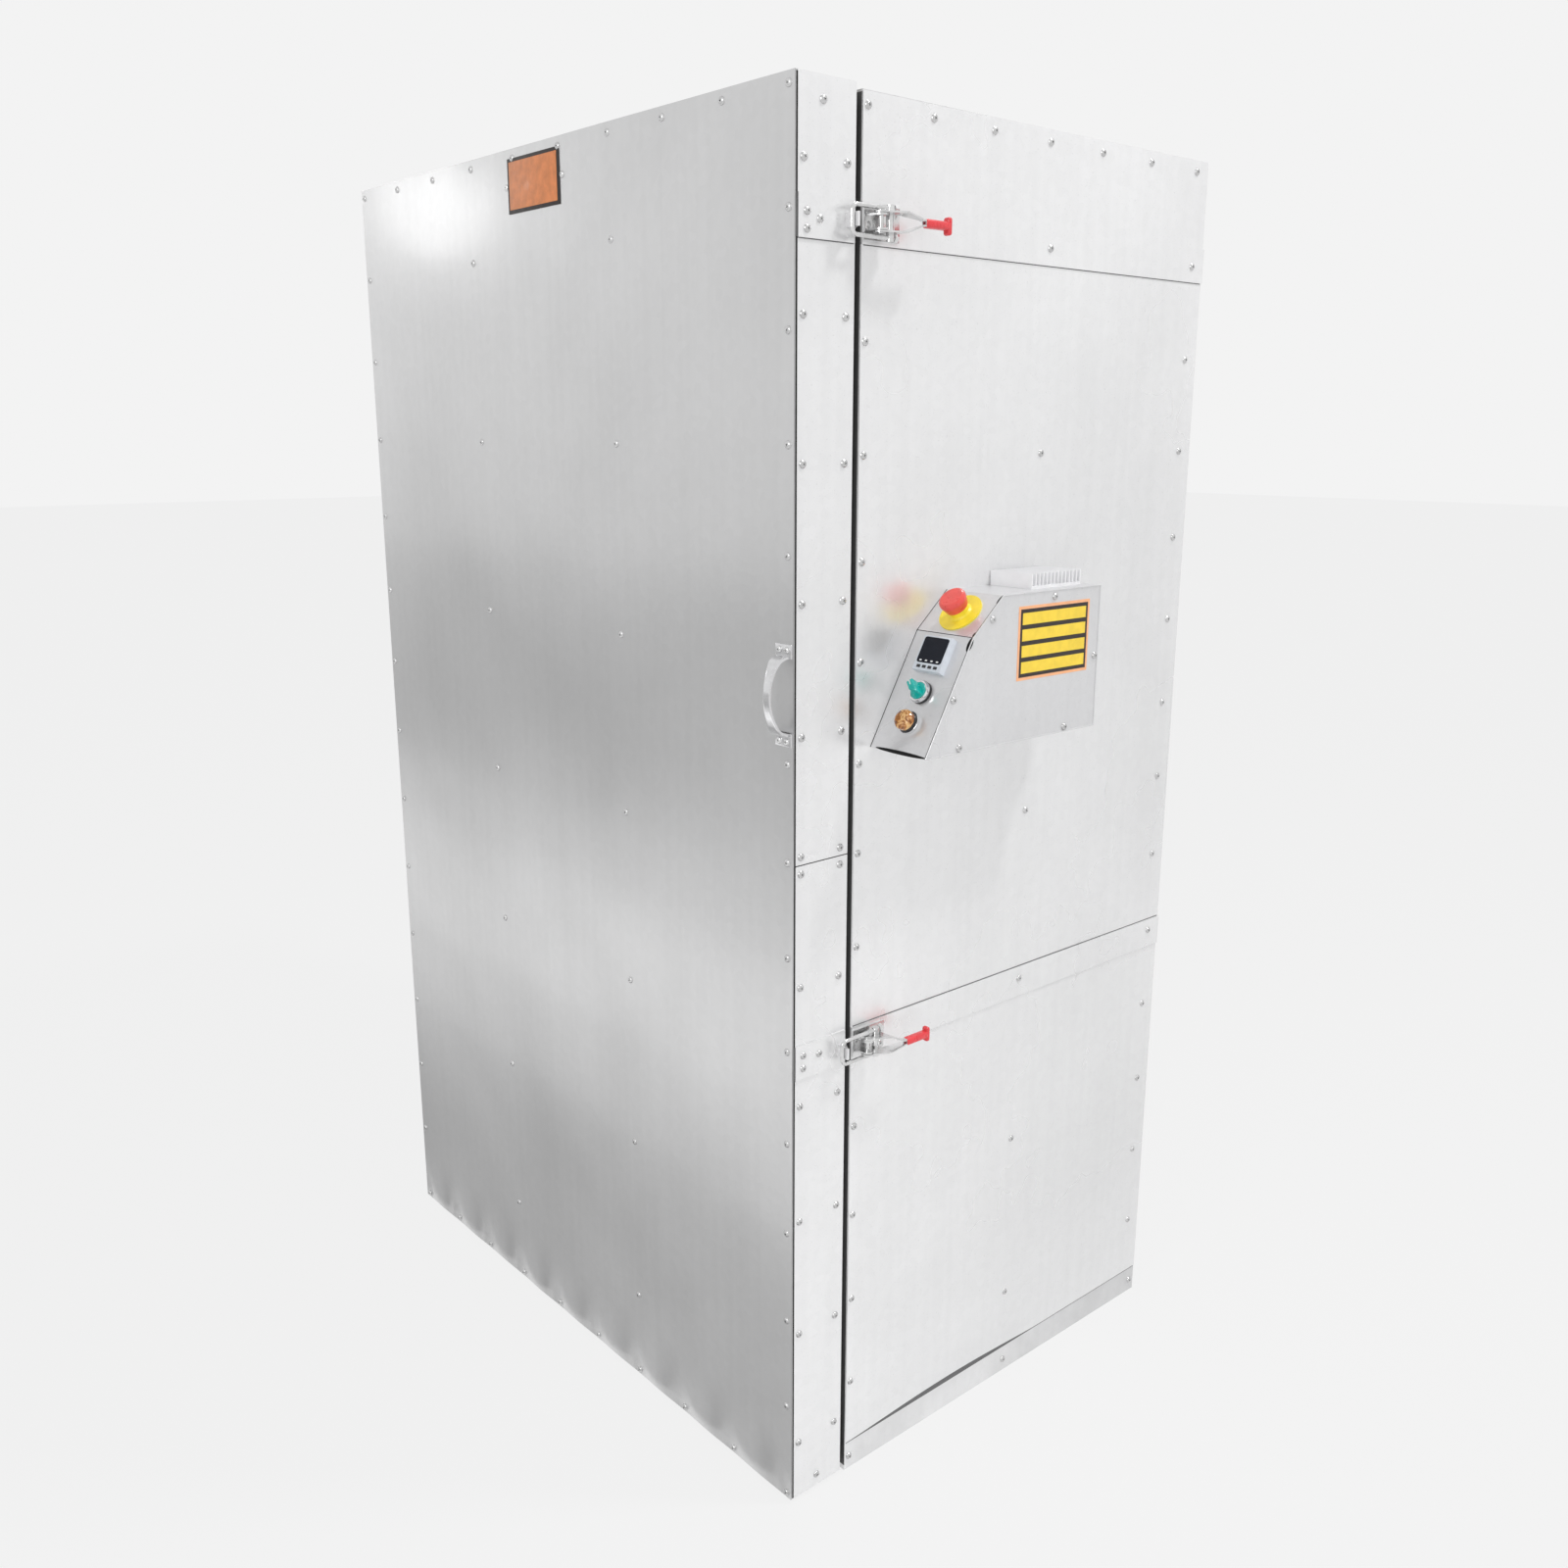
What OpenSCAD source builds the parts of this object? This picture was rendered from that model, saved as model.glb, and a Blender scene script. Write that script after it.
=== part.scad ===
/* [Cabinet] */
// Outer width of the cabinet and of the door
cabinet_w = 1101; // [900:1:1300]
// Depth of the cabinet behind the door
cabinet_d = 703; // [550:1:900]
// Height of the cabinet
cabinet_h = 1862; // [1500:1:2200]
// Thickness of the insulated walls, roof and base
wall_t = 93.5; // [60:0.5:120]
// Thickness of the inner sheets
liner_t = 1; // [0.8:0.1:3]
// Thickness of the plate that faces the front of the cabinet
front_plate_t = 2; // [1:0.5:4]
// Distance that the rear wall lies in between the side walls
rear_recess = 4; // [3:0.5:10]
// Height of the flashing along the foot of the walls
skirt_h = 44; // [25:1:80]
// Thickness of the flashing
skirt_t = 2; // [1:0.5:3]

/* [Door] */
// Thickness of the door
door_t = 93.5; // [60:0.5:120]
// Height of the door
door_h = 1863; // [1500:1:2200]
// Clearance between the door and the ground
door_lift = 6; // [3:1:12]
// Gap between the door and the cabinet, filled by the gasket
door_gap = 9; // [6:0.5:14]
// Thickness of the sheets that cover the door
door_sheet_t = 1.2; // [0.8:0.1:2]
// Height of the seam between the two sheets of the door edge
seam_z = 946; // [800:1:1200]
// Width of the groove between the face of the door and its edge strips
edge_groove = 2; // [1:0.5:4]
// Width of the gasket
gasket_w = 20; // [10:1:35]
// Distance of the gasket from the outside of the cabinet
gasket_inset = 14; // [6:1:30]

/* [Hinges] */
// Length of a hinge
hinge_l = 127; // [80:1:160]
// Diameter of the hinge knuckles
knuckle_d = 18; // [14:1:22]
// Diameter of the hinge pins
pin_d = 10; // [6:0.5:11]
// Width of a hinge leaf
leaf_w = 46; // [30:1:60]
// Thickness of a hinge leaf
leaf_t = 3; // [2:0.5:4]
// Distance of the end hinges from the top and the foot of the door
hinge_end = 230; // [150:1:350]

/* [Handle] */
// Height of the middle of the pull handle
handle_z = 1164; // [900:1:1300]
// Distance between the middles of the handle's feet
handle_l = 114; // [90:1:160]
// Distance that the handle stands out from the door
handle_out = 31; // [28:1:60]
// Width of the handle's feet
handle_w = 30; // [20:1:40]
// Height of the handle's feet
handle_foot = 14; // [12:1:22]
// Distance of the handle's middle from the edge of the door
handle_edge = 16; // [15.5:0.5:60]

/* [Latches] */
// Height of the lower latch
latch_low_z = 676; // [500:1:850]
// Distance of the upper latch below the top of the cabinet
latch_drop = 144; // [100:1:450]
// Height of the straps that carry the latches
strap_h = 48; // [40:1:70]
// Thickness of the straps and of the catch plates
strap_t = 2.5; // [1.5:0.5:4]
// Height of the catch plates on the door edge
catch_h = 48; // [42:1:70]
// Distance of the lever pivot behind the front of the cabinet
pivot_back = 14; // [12:1:30]
// Distance of the lever pivot from the wall
pivot_out = 20; // [18:1:26]
// Distance between the lever pivot and the trunnion of the loop
crank = 18; // [16:1:24]
// Offset of the trunnion towards the wall, which locks the lever over centre
over_centre = 3; // [1:0.5:4]
// Distance between the trunnion and the end of the loop
loop_l = 62; // [55:1:70]
// Diameter of the loop's rod
rod_d = 5.5; // [4:0.5:6]
// Distance between the two legs of the loop
loop_w = 33; // [32:1:38]
// Length of the red grip
grip_l = 44; // [36:1:70]

/* [Control box] */
// Distance that the control box stands out from the wall
box_out = 99; // [90:1:160]
// Height of the control box
box_h = 194; // [185:1:260]
// Length of the control box along its foot
box_l = 337; // [310:1:380]
// Height of the underside of the control box
box_z = 1083; // [900:1:1200]
// Distance between the front of the cabinet and the foot of the control box
box_back = 29; // [1:1:60]
// Run of the steep lower face
face_run = 82; // [60:1:100]
// Rise of the steep lower face
face_rise = 145; // [140:1:160]
// Run of the flatter upper face
slope_run = 55; // [50:1:90]
// Thickness of the sheet that closes the side of the control box
cover_t = 1.5; // [1:0.1:3]
// Size of the square temperature controller
controller_s = 48; // [44:1:52]
// Diameter of the emergency stop's ring
ring_d = 60; // [50:1:64]
// Diameter of the emergency stop's head
head_d = 37; // [34:1:44]
// Travel of the emergency stop's head
head_travel = 5; // [3:0.5:6]
// Diameter of the bezels of the selector and the lamp
bezel_d = 30; // [26:1:32]

/* [Heat sink] */
// Length of the heat sink along the wall
sink_l = 103; // [60:1:120]
// Width of the heat sink
sink_w = 72; // [50:1:90]
// Height of the heat sink
sink_h = 20; // [14:1:40]
// Thickness of the heat sink's base
sink_base = 4; // [3:0.5:6]
// Thickness of a cooling fin
fin_t = 1.8; // [1:0.1:2.5]
// Number of cooling fins
fin_count = 14; // [8:1:16]

/* [Heating] */
// Diameter of the tubular heating elements
element_d = 11; // [8:0.5:14]
// Clearance in front of and behind the heating elements
element_clear = 29; // [15:1:80]
// Distance between two runs of an element
element_pitch = 60; // [45:1:90]
// Number of runs of an element, an even number
element_runs = 6; // [2:2:8]
// Height of the lowest run above the inner floor
element_z = 120; // [80:1:300]
// Distance between an element's middle and the inner wall
element_off = 26; // [18:1:40]

/* [Hanging rack] */
// Leg of the angle rails along the inner walls
rail_leg = 38; // [25:1:50]
// Thickness of the angle rails
rail_t = 3; // [2:0.5:5]
// Distance of the rails' top below the inner roof
rail_drop = 90; // [60:1:200]
// Diameter of the bars that rest across the rails
bar_d = 25; // [16:1:32]
// Distance between the two bars
bar_gap = 260; // [100:1:320]
// Distance between the front of the cabinet and the rails
rail_front = 30; // [10:1:80]

/* [Hidden] */
$fn = 48;
eps = 0.01;

// Seats and running clearances
touch = 0.3;
pin_play = 0.2;

// Planes of the cabinet: the origin is at the ground, in the middle of the cabinet, and the front looks to -Y
right_x = cabinet_w / 2;
front_y = -cabinet_d / 2;
rear_y = cabinet_d / 2;
panel_t = wall_t - liner_t;
cavity_w = cabinet_w - 2 * wall_t;
cavity_d = cabinet_d - wall_t;
cavity_h = cabinet_h - 2 * wall_t;
skirt_rebate = skirt_t + 0.5;

// Planes of the door
door_back_y = front_y - door_gap;
door_front_y = door_back_y - door_t;
edge_t = door_sheet_t;
seam_gap = 0.8;

// Hinge axis, beside the gap on the left
hinge_x = -right_x - leaf_t - knuckle_d / 2;
hinge_y = front_y - door_gap / 2;
hinge_zs = [door_lift + hinge_end, door_lift + door_h / 2, door_lift + door_h - hinge_end];
knuckle_count = 5;
knuckle_l = hinge_l / knuckle_count;
knuckle_play = 0.5;

// Latch frame: X out from the wall, Y rearwards from the lever pivot, Z up
latch_y = front_y + pivot_back;
latch_high_z = cabinet_h - latch_drop;
trunnion = [pivot_out - over_centre, crank];
trunnion_d = 10;
loop_end_y = trunnion[1] - loop_l;
loop_bend = 8;
loop_tail = 13;
base_plate_t = 2;
base_plate_l = 46;
base_plate_h = 38;
pivot_pin_d = 6;
ear_t = 2.5;
ear_in = 7;
lever_t = 2;
lever_in = ear_in + ear_t + 0.5;
lever_out = lever_in + lever_t;
lever_r = 9;
pin_head = 1;
grip_y = crank + 30;
grip_x = pivot_out + 24;
grip_t = 11;
grip_h = 10.4;
grip_end_l = 7;
grip_end_h = 21;
tail_h = 8;
tail_t = 7;
keeper_t = 3;
keeper_gap = 0.5;
keeper_w = loop_w - 2 * loop_bend - 1;
keeper_top = trunnion[0] + 7;

// Control box outline, front to rear and upwards from its foot
box_y = front_y + box_back;
slope_rise = box_h - face_rise;
face_angle = atan2(face_rise, face_run);
slope_angle = atan2(slope_rise, slope_run);
face_len = norm([face_run, face_rise]);
slope_len = norm([slope_run, slope_rise]);
box_outline = [[0, 0], [face_run, face_rise], [face_run + slope_run, box_h], [box_l, box_h], [box_l, 0]];
panel_mid = box_out / 2 + 2;
cover_screw_d = 9;
cover_screw_h = 3.2;
cover_screws = [[face_run / 2 + 7, face_rise / 2 - 3.5], [face_run + slope_run / 2 + 8, box_h - 29],
    [box_l - 97, box_h - 8.5], [box_l - 6, box_h / 2 + 1], [61, 6], [box_l - 65, 6]];
controller_at = face_len - controller_s / 2 - 8;
selector_at = controller_at - controller_s / 2 - 12 - bezel_d / 2;
lamp_at = selector_at - 1.4 * bezel_d;
stop_at = slope_len / 2;
bezel_h = 9;
bezel_floor = 1.5;
knob_h = 24;
pointer_turn = 45;
lens_h = 17;
collar_h = 14;
collar_d = head_d - 10;
collar_bore = head_d - 15;
head_low = 7 + head_travel;
head_h = 18;
head_bore = collar_d + 1.4;
head_recess = collar_h - head_low + head_travel + 1;
sink_y = box_y + box_l - sink_l - 12;

// Plates and blocks given by two corners
module block(low, high) {
    translate(low) cube(high - low);
}

module ring(outer, inner, h) {
    difference() {
        cylinder(d = outer, h = h);
        translate([0, 0, -1]) cylinder(d = inner, h = h + 2);
    }
}

// Elements and rack inside
element_l = cavity_d - 2 * element_clear - element_pitch - element_d;
cavity_mid_y = front_y + cavity_d / 2;
rail_z = cabinet_h - wall_t - rail_drop;

// Cabinet panels
module side_panel() {
    difference() {
        block([right_x - panel_t, front_y + front_plate_t, 0], [right_x, rear_y, cabinet_h]);
        block([right_x - skirt_rebate, front_y - 1, -1], [right_x + 1, rear_y + 1, skirt_h]);
        block([0, rear_y - rear_recess, -1], [right_x + 1, rear_y + 1, skirt_h]);
    }
}

module right_wall() {
    color("gainsboro") side_panel();
}

module left_wall() {
    color("gainsboro") mirror([1, 0, 0]) side_panel();
}

module rear_wall() {
    color("silver") block([-right_x + panel_t, rear_y - panel_t, 0],
        [right_x - panel_t, rear_y - rear_recess, cabinet_h]);
}

module flat_panel(z) {
    block([-right_x + panel_t, front_y + front_plate_t, z],
        [right_x - panel_t, rear_y - panel_t, z + panel_t]);
}

module roof_panel() {
    color("silver") flat_panel(cabinet_h - panel_t);
}

module base_panel() {
    color("darkgray") flat_panel(0);
}

module inner_liner() {
    color("lightgray") difference() {
        block([-cavity_w / 2 - liner_t, front_y + front_plate_t, wall_t - liner_t],
            [cavity_w / 2 + liner_t, rear_y - wall_t + liner_t, cabinet_h - wall_t + liner_t]);
        block([-cavity_w / 2, front_y - 1, wall_t], [cavity_w / 2, rear_y - wall_t, cabinet_h - wall_t]);
    }
}

module front_frame() {
    color("silver") difference() {
        block([-right_x, front_y, 0], [right_x, front_y + front_plate_t, cabinet_h]);
        block([-cavity_w / 2, front_y - 1, wall_t], [cavity_w / 2, front_y + front_plate_t + 1, cabinet_h - wall_t]);
    }
}

module door_gasket() {
    gasket_in = gasket_inset + gasket_w;
    color("dimgray") difference() {
        block([-right_x + gasket_inset, door_back_y + touch, gasket_inset],
            [right_x - gasket_inset, front_y, cabinet_h - gasket_inset]);
        block([-right_x + gasket_in, door_back_y - 1, gasket_in],
            [right_x - gasket_in, front_y + 1, cabinet_h - gasket_in]);
    }
}

module foot_flashing() {
    outer = right_x - skirt_rebate + skirt_t;
    inner = right_x - skirt_rebate;
    color("lightgray") difference() {
        block([-outer, front_y + front_plate_t, 0], [outer, rear_y - skirt_rebate + skirt_t, skirt_h - touch]);
        block([-inner, front_y - 1, -1], [inner, rear_y - rear_recess, skirt_h + 1]);
    }
}

// Latch straps on the right wall
module strap(z) {
    block([right_x, front_y, z - strap_h / 2], [right_x + strap_t, rear_y, z + strap_h / 2]);
}

module strap_upper() {
    color("whitesmoke") strap(latch_high_z);
}

module strap_lower() {
    color("whitesmoke") strap(latch_low_z);
}

// Latch pieces
module at_latch(z) {
    translate([right_x, latch_y, z]) children();
}

module latch_base(z) {
    seat = strap_t + base_plate_t;
    ear_r = pivot_pin_d + 2.5;
    at_latch(z) {
        block([strap_t, -pivot_back + 2, -base_plate_h / 2],
            [seat, base_plate_l, base_plate_h / 2]);
        for (side = [-1, 1]) mirror([0, 0, side < 0 ? 1 : 0]) difference() {
            translate([0, 0, ear_in]) linear_extrude(ear_t) union() {
                translate([pivot_out, 0]) circle(r = ear_r);
                polygon([[seat - eps, -ear_r - 2.5], [pivot_out, -ear_r], [pivot_out, ear_r],
                    [seat - eps, ear_r + 2.5]]);
            }
            translate([pivot_out, 0, 0]) cylinder(d = pivot_pin_d, h = 4 * lever_out, center = true);
        }
        translate([pivot_out, 0, -lever_out - pin_play]) cylinder(d = pivot_pin_d, h = 2 * (lever_out + pin_play));
        for (side = [-1, 1]) translate([pivot_out, 0, side * (lever_out + pin_play + pin_head / 2)])
            cylinder(d = pivot_pin_d + 3, h = pin_head, center = true);
    }
}

module latch_base_upper() {
    color("silver") latch_base(latch_high_z);
}

module latch_base_lower() {
    color("silver") latch_base(latch_low_z);
}

module lever(z) {
    neck = tail_h / 2;
    tail = tail_t / 2;
    tail_l = grip_y + grip_l - grip_end_l;
    color("gainsboro") at_latch(z) difference() {
        intersection() {
            translate([0, 0, -lever_out - 1]) linear_extrude(2 * lever_out + 2) union() {
                translate([pivot_out, 0]) circle(r = lever_r);
                translate(trunnion) circle(r = lever_r);
                polygon([[pivot_out + lever_r, 0], [grip_x + tail, grip_y - 6], [grip_x + tail, tail_l],
                    [grip_x - tail, tail_l], [grip_x - tail, grip_y - 6],
                    [trunnion[0] - lever_r, trunnion[1]], [pivot_out - lever_r, 0]]);
            }
            rotate([90, 0, 90]) linear_extrude(2 * grip_x) polygon([
                [-lever_r - 1, lever_out], [trunnion[1] + 8, lever_out], [grip_y - 4, neck],
                [grip_y + grip_l, neck], [grip_y + grip_l, -neck], [grip_y - 4, -neck],
                [trunnion[1] + 8, -lever_out], [-lever_r - 1, -lever_out], [-lever_r - 1, -lever_in],
                [trunnion[1] + 8, -lever_in], [grip_y - 4, lever_t - neck], [grip_y, lever_t - neck],
                [grip_y, neck - lever_t], [grip_y - 4, neck - lever_t], [trunnion[1] + 8, lever_in],
                [-lever_r - 1, lever_in]]);
        }
        translate([pivot_out, 0, 0]) cylinder(d = pivot_pin_d + 2 * pin_play, h = 4 * lever_out, center = true);
        translate([trunnion[0], trunnion[1], 0]) cylinder(d = trunnion_d + 2 * pin_play, h = 4 * lever_out, center = true);
    }
}

module lever_upper() {
    lever(latch_high_z);
}

module lever_lower() {
    lever(latch_low_z);
}

module grip(z) {
    color("crimson") at_latch(z) translate([grip_x, grip_y, 0]) difference() {
        union() {
            translate([-grip_t / 2, 0, -grip_h / 2]) cube([grip_t, grip_l, grip_h]);
            translate([-grip_t / 2, grip_l - grip_end_l, -grip_end_h / 2]) cube([grip_t, grip_end_l, grip_end_h]);
        }
        translate([-tail_t / 2 - 0.1, -1, -tail_h / 2 - 0.1])
            cube([tail_t + 0.2, grip_l - grip_end_l + 1.1, tail_h + 0.2]);
    }
}

module grip_upper() {
    grip(latch_high_z);
}

module grip_lower() {
    grip(latch_low_z);
}

module loop(z) {
    leg_z = loop_w / 2;
    color("gainsboro") at_latch(z) translate([trunnion[0], 0, 0]) {
        for (side = [-1, 1]) mirror([0, 0, side < 0 ? 1 : 0]) {
            translate([0, loop_end_y + loop_bend, leg_z]) rotate([-90, 0, 0])
                cylinder(d = rod_d, h = loop_l + loop_tail - loop_bend, $fn = 32);
            translate([0, loop_end_y + loop_bend, leg_z - loop_bend]) rotate([0, -90, 0]) rotate([0, 0, 270])
                rotate_extrude(angle = 90, $fn = 32) translate([loop_bend, 0]) circle(d = rod_d, $fn = 32);
            translate([0, trunnion[1] + trunnion_d / 2, leg_z]) rotate([-90, 0, 0])
                cylinder(d = 10, h = 5, $fn = 6);
        }
        translate([0, loop_end_y, -leg_z + loop_bend])
            cylinder(d = rod_d, h = loop_w - 2 * loop_bend, $fn = 32);
        translate([0, trunnion[1], -leg_z - 4]) cylinder(d = trunnion_d, h = loop_w + 8);
    }
}

module loop_upper() {
    loop(latch_high_z);
}

module loop_lower() {
    loop(latch_low_z);
}

// Catch plate with its upturned keeper, on the edge of the door
module catch(z) {
    plate_in = 3;
    keeper_y = loop_end_y + rod_d / 2 + keeper_gap;
    color("whitesmoke") {
        block([right_x, door_front_y + plate_in, z - catch_h / 2],
            [right_x + strap_t, door_back_y - 2, z + catch_h / 2]);
        at_latch(z) {
            block([strap_t, keeper_y, -keeper_w / 2], [keeper_top, keeper_y + keeper_t, keeper_w / 2]);
            for (side = [-1, 1]) translate([0, 0, side * (keeper_w / 2 - 1.5) - 1.5]) linear_extrude(3)
                polygon([[strap_t - eps, keeper_y + keeper_t - eps], [keeper_top - 3, keeper_y + keeper_t - eps],
                    [strap_t + 2, keeper_y + keeper_t + 11], [strap_t - eps, keeper_y + keeper_t + 11]]);
        }
    }
}

module catch_upper() {
    catch(latch_high_z);
}

module catch_lower() {
    catch(latch_low_z);
}

// Control box: its outline runs along the wall and is extruded outwards
module box_profile(from_x, to_x) {
    translate([right_x + from_x, box_y, box_z]) rotate([90, 0, 90]) linear_extrude(to_x - from_x)
        polygon(box_outline);
}

module on_face(x, s) {
    translate([right_x + x, box_y, box_z]) rotate([face_angle, 0, 0]) translate([0, s, 0]) children();
}

module on_slope(x, s) {
    translate([right_x + x, box_y + face_run, box_z + face_rise]) rotate([slope_angle, 0, 0])
        translate([0, s, 0]) children();
}

module control_box() {
    color("whitesmoke") box_profile(0, box_out - cover_t);
}

module control_cover() {
    color("gainsboro") {
        box_profile(box_out - cover_t, box_out);
        for (p = cover_screws) translate([right_x + box_out - eps, box_y + p[0], box_z + p[1]]) rotate([0, 90, 0])
            cylinder(d = cover_screw_d, h = cover_screw_h + eps, $fn = 24);
    }
}

module heat_sink() {
    color("whitesmoke") translate([right_x + 2, sink_y, box_z + box_h]) {
        cube([sink_w, sink_l, sink_base]);
        for (i = [0 : fin_count - 1]) translate([0, i * (sink_l - fin_t) / (fin_count - 1), sink_base - eps])
            cube([sink_w, fin_t, sink_h - sink_base + eps]);
    }
}

module temperature_controller() {
    out = 9;
    color("dimgray") on_face(panel_mid, controller_at) difference() {
        translate([-controller_s / 2, -controller_s / 2, 0]) cube([controller_s, controller_s, out]);
        translate([-controller_s / 2 + 4, -4, out - 1]) cube([controller_s - 8, controller_s / 2, 2]);
        for (i = [0 : 3]) translate([-controller_s / 2 + 9 + i * (controller_s - 18) / 3, -14, out - 0.8])
            cylinder(d = 7, h = 2);
    }
}

module stop_ring() {
    color("gold") on_slope(panel_mid, stop_at) difference() {
        union() {
            cylinder(d = ring_d, h = 2);
            cylinder(d = collar_d, h = collar_h);
            translate([0, 0, 2 - eps]) cylinder(d1 = collar_d + 5, d2 = collar_d, h = 2.5);
        }
        translate([0, 0, 1]) cylinder(d = collar_bore, h = collar_h);
    }
}

module stop_button() {
    head_r = head_d / 2;
    color("crimson") on_slope(panel_mid, stop_at) {
        translate([0, 0, head_travel + 2]) cylinder(d = collar_bore - 2 * touch, h = head_low + head_recess - head_travel - 1);
        translate([0, 0, head_low]) rotate_extrude() polygon([[0, head_recess], [head_bore / 2, head_recess],
            [head_bore / 2, 0], [head_r - 3, 0], [head_r, head_h - 7], [head_r, head_h - 4],
            [head_r - 1, head_h - 1.6], [head_r - 3.5, head_h - 0.3], [0, head_h]]);
    }
}

module bezel(s) {
    on_face(panel_mid, s) difference() {
        union() {
            cylinder(d = bezel_d - 2, h = bezel_h / 2);
            translate([0, 0, bezel_h / 2 - eps]) cylinder(d1 = bezel_d, d2 = bezel_d - 3, h = bezel_h / 2 + eps);
        }
        translate([0, 0, bezel_floor]) cylinder(d = bezel_d - 6, h = bezel_h);
    }
}

module selector_bezel() {
    color("silver") bezel(selector_at);
}

module selector_knob() {
    knob_d = bezel_d - 6 - 2 * touch;
    grip_foot = bezel_h + 1 - bezel_floor;
    color("teal") on_face(panel_mid, selector_at) translate([0, 0, bezel_floor + touch]) rotate([0, 0, pointer_turn]) {
        cylinder(d = knob_d, h = grip_foot);
        intersection() {
            cylinder(d = knob_d, h = knob_h - bezel_floor);
            rotate([90, 0, 90]) linear_extrude(knob_d / 3, center = true) polygon([
                [-knob_d / 2, grip_foot - eps], [knob_d / 2, grip_foot - eps], [knob_d / 2, knob_h - bezel_floor],
                [-knob_d / 4, knob_h - bezel_floor], [-knob_d / 2, grip_foot + 3]]);
        }
    }
}

module lamp_bezel() {
    color("silver") bezel(lamp_at);
}

module lamp_lens() {
    lens_r = bezel_d / 2 - 1.5;
    step = bezel_h - bezel_floor + touch;
    color("orange") on_face(panel_mid, lamp_at) translate([0, 0, bezel_floor]) rotate_extrude()
        polygon([[0, 0], [bezel_d / 2 - 3, 0], [bezel_d / 2 - 3, step], [lens_r, step], [lens_r, lens_h - 3.5],
            [lens_r - 1.5, lens_h - 1], [lens_r - 4, lens_h], [0, lens_h]]);
}

module cable_gland() {
    color("dimgray") translate([right_x + panel_mid, box_y + box_l, box_z + 45]) rotate([-90, 0, 0]) {
        ring(30, 14, 6);
        translate([0, 0, 6 - eps]) ring(24, 14, 16);
    }
}

// Hinges: five knuckles each, three on the cabinet and two on the door
module knuckles(first) {
    for (i = [first : 2 : knuckle_count - 1])
        translate([0, 0, -hinge_l / 2 + i * knuckle_l + knuckle_play / 2])
            cylinder(d = knuckle_d, h = knuckle_l - knuckle_play);
}

module at_hinges() {
    for (z = hinge_zs) translate([hinge_x, hinge_y, z]) children();
}

module leaf(first, side) {
    reach = knuckle_d / 2 + leaf_t;
    root = door_gap / 2 + 8;
    mirror([0, side < 0 ? 1 : 0, 0]) {
        for (i = [first : 2 : knuckle_count - 1])
            translate([0, 0, -hinge_l / 2 + i * knuckle_l + knuckle_play / 2])
                block([pin_d / 2, 0, 0], [reach, root + eps, knuckle_l - knuckle_play]);
        block([reach - leaf_t, root, -hinge_l / 2], [reach, door_gap / 2 + leaf_w, hinge_l / 2]);
    }
}

module cabinet_hinges() {
    color("silver") at_hinges() difference() {
        union() {
            knuckles(0);
            leaf(0, 1);
        }
        cylinder(d = pin_d + 2 * pin_play, h = hinge_l + 2, center = true);
    }
}

module door_hinges() {
    color("darkgray") at_hinges() {
        knuckles(1);
        leaf(1, -1);
        cylinder(d = pin_d, h = hinge_l + 6, center = true);
    }
}

// Tubular heating elements: straight runs joined by bends
module element(side) {
    start_y = cavity_mid_y - element_l / 2;
    tube_x = side * (cavity_w / 2 - element_off);
    translate([tube_x, start_y, wall_t + element_z]) {
        for (i = [0 : element_runs - 1]) translate([0, 0, i * element_pitch]) rotate([-90, 0, 0])
            cylinder(d = element_d, h = element_l, $fn = 24);
        for (i = [0 : element_runs - 2])
            translate([0, i % 2 == 0 ? 0 : element_l, (i + 0.5) * element_pitch]) rotate([0, -90, 0])
                rotate([0, 0, i % 2 == 0 ? 180 : 0]) rotate_extrude(angle = 180, $fn = 32)
                    translate([element_pitch / 2, 0]) circle(d = element_d, $fn = 24);
        for (i = [0, element_runs - 1]) translate([0, element_l, i * element_pitch]) rotate([0, side * 90, 0])
            cylinder(d = element_d, h = element_off, $fn = 24);
        for (i = [0, element_runs - 1]) translate([0, element_l, i * element_pitch])
            sphere(d = element_d, $fn = 24);
    }
}

module element_left() {
    color("dimgray") element(-1);
}

module element_right() {
    color("dimgray") element(1);
}

// Rails and bars that parts hang from
module hanging_rails() {
    color("silver") for (side = [-1, 1]) mirror([side < 0 ? 1 : 0, 0, 0]) {
        block([cavity_w / 2 - rail_t, front_y + rail_front, rail_z - rail_leg], [cavity_w / 2, rear_y - wall_t, rail_z]);
        block([cavity_w / 2 - rail_leg, front_y + rail_front, rail_z - rail_t],
            [cavity_w / 2 - rail_t + eps, rear_y - wall_t, rail_z]);
    }
}

module hanging_bars() {
    bar_l = cavity_w - 2 * rail_t - 4;
    color("gainsboro") for (side = [-1, 1])
        translate([0, cavity_mid_y + side * bar_gap / 2, rail_z + bar_d / 2]) rotate([0, 90, 0]) difference() {
            cylinder(d = bar_d, h = bar_l, center = true);
            cylinder(d = bar_d - 4, h = bar_l + 2, center = true);
        }
}

// Door
module door_block(left, right, front, back, low, high) {
    block([left, front, door_lift + low], [right, back, door_lift + high]);
}

module door_panel() {
    color("silver") door_block(-right_x, right_x - edge_t, door_front_y + door_sheet_t, door_back_y - liner_t,
        0, door_h);
}

module door_face() {
    color("silver") door_block(-right_x, right_x, door_front_y, door_front_y + door_sheet_t, 0, door_h);
}

module door_edge(low, high) {
    color("gainsboro") door_block(right_x - edge_t, right_x, door_front_y + door_sheet_t + edge_groove,
        door_back_y, low, high);
}

module door_edge_upper() {
    door_edge(seam_z - door_lift, door_h);
}

module door_edge_lower() {
    door_edge(0, seam_z - door_lift - seam_gap);
}

module door_liner() {
    color("lightgray") door_block(-right_x, right_x - edge_t, door_back_y - liner_t, door_back_y, 0, door_h);
}

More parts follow.
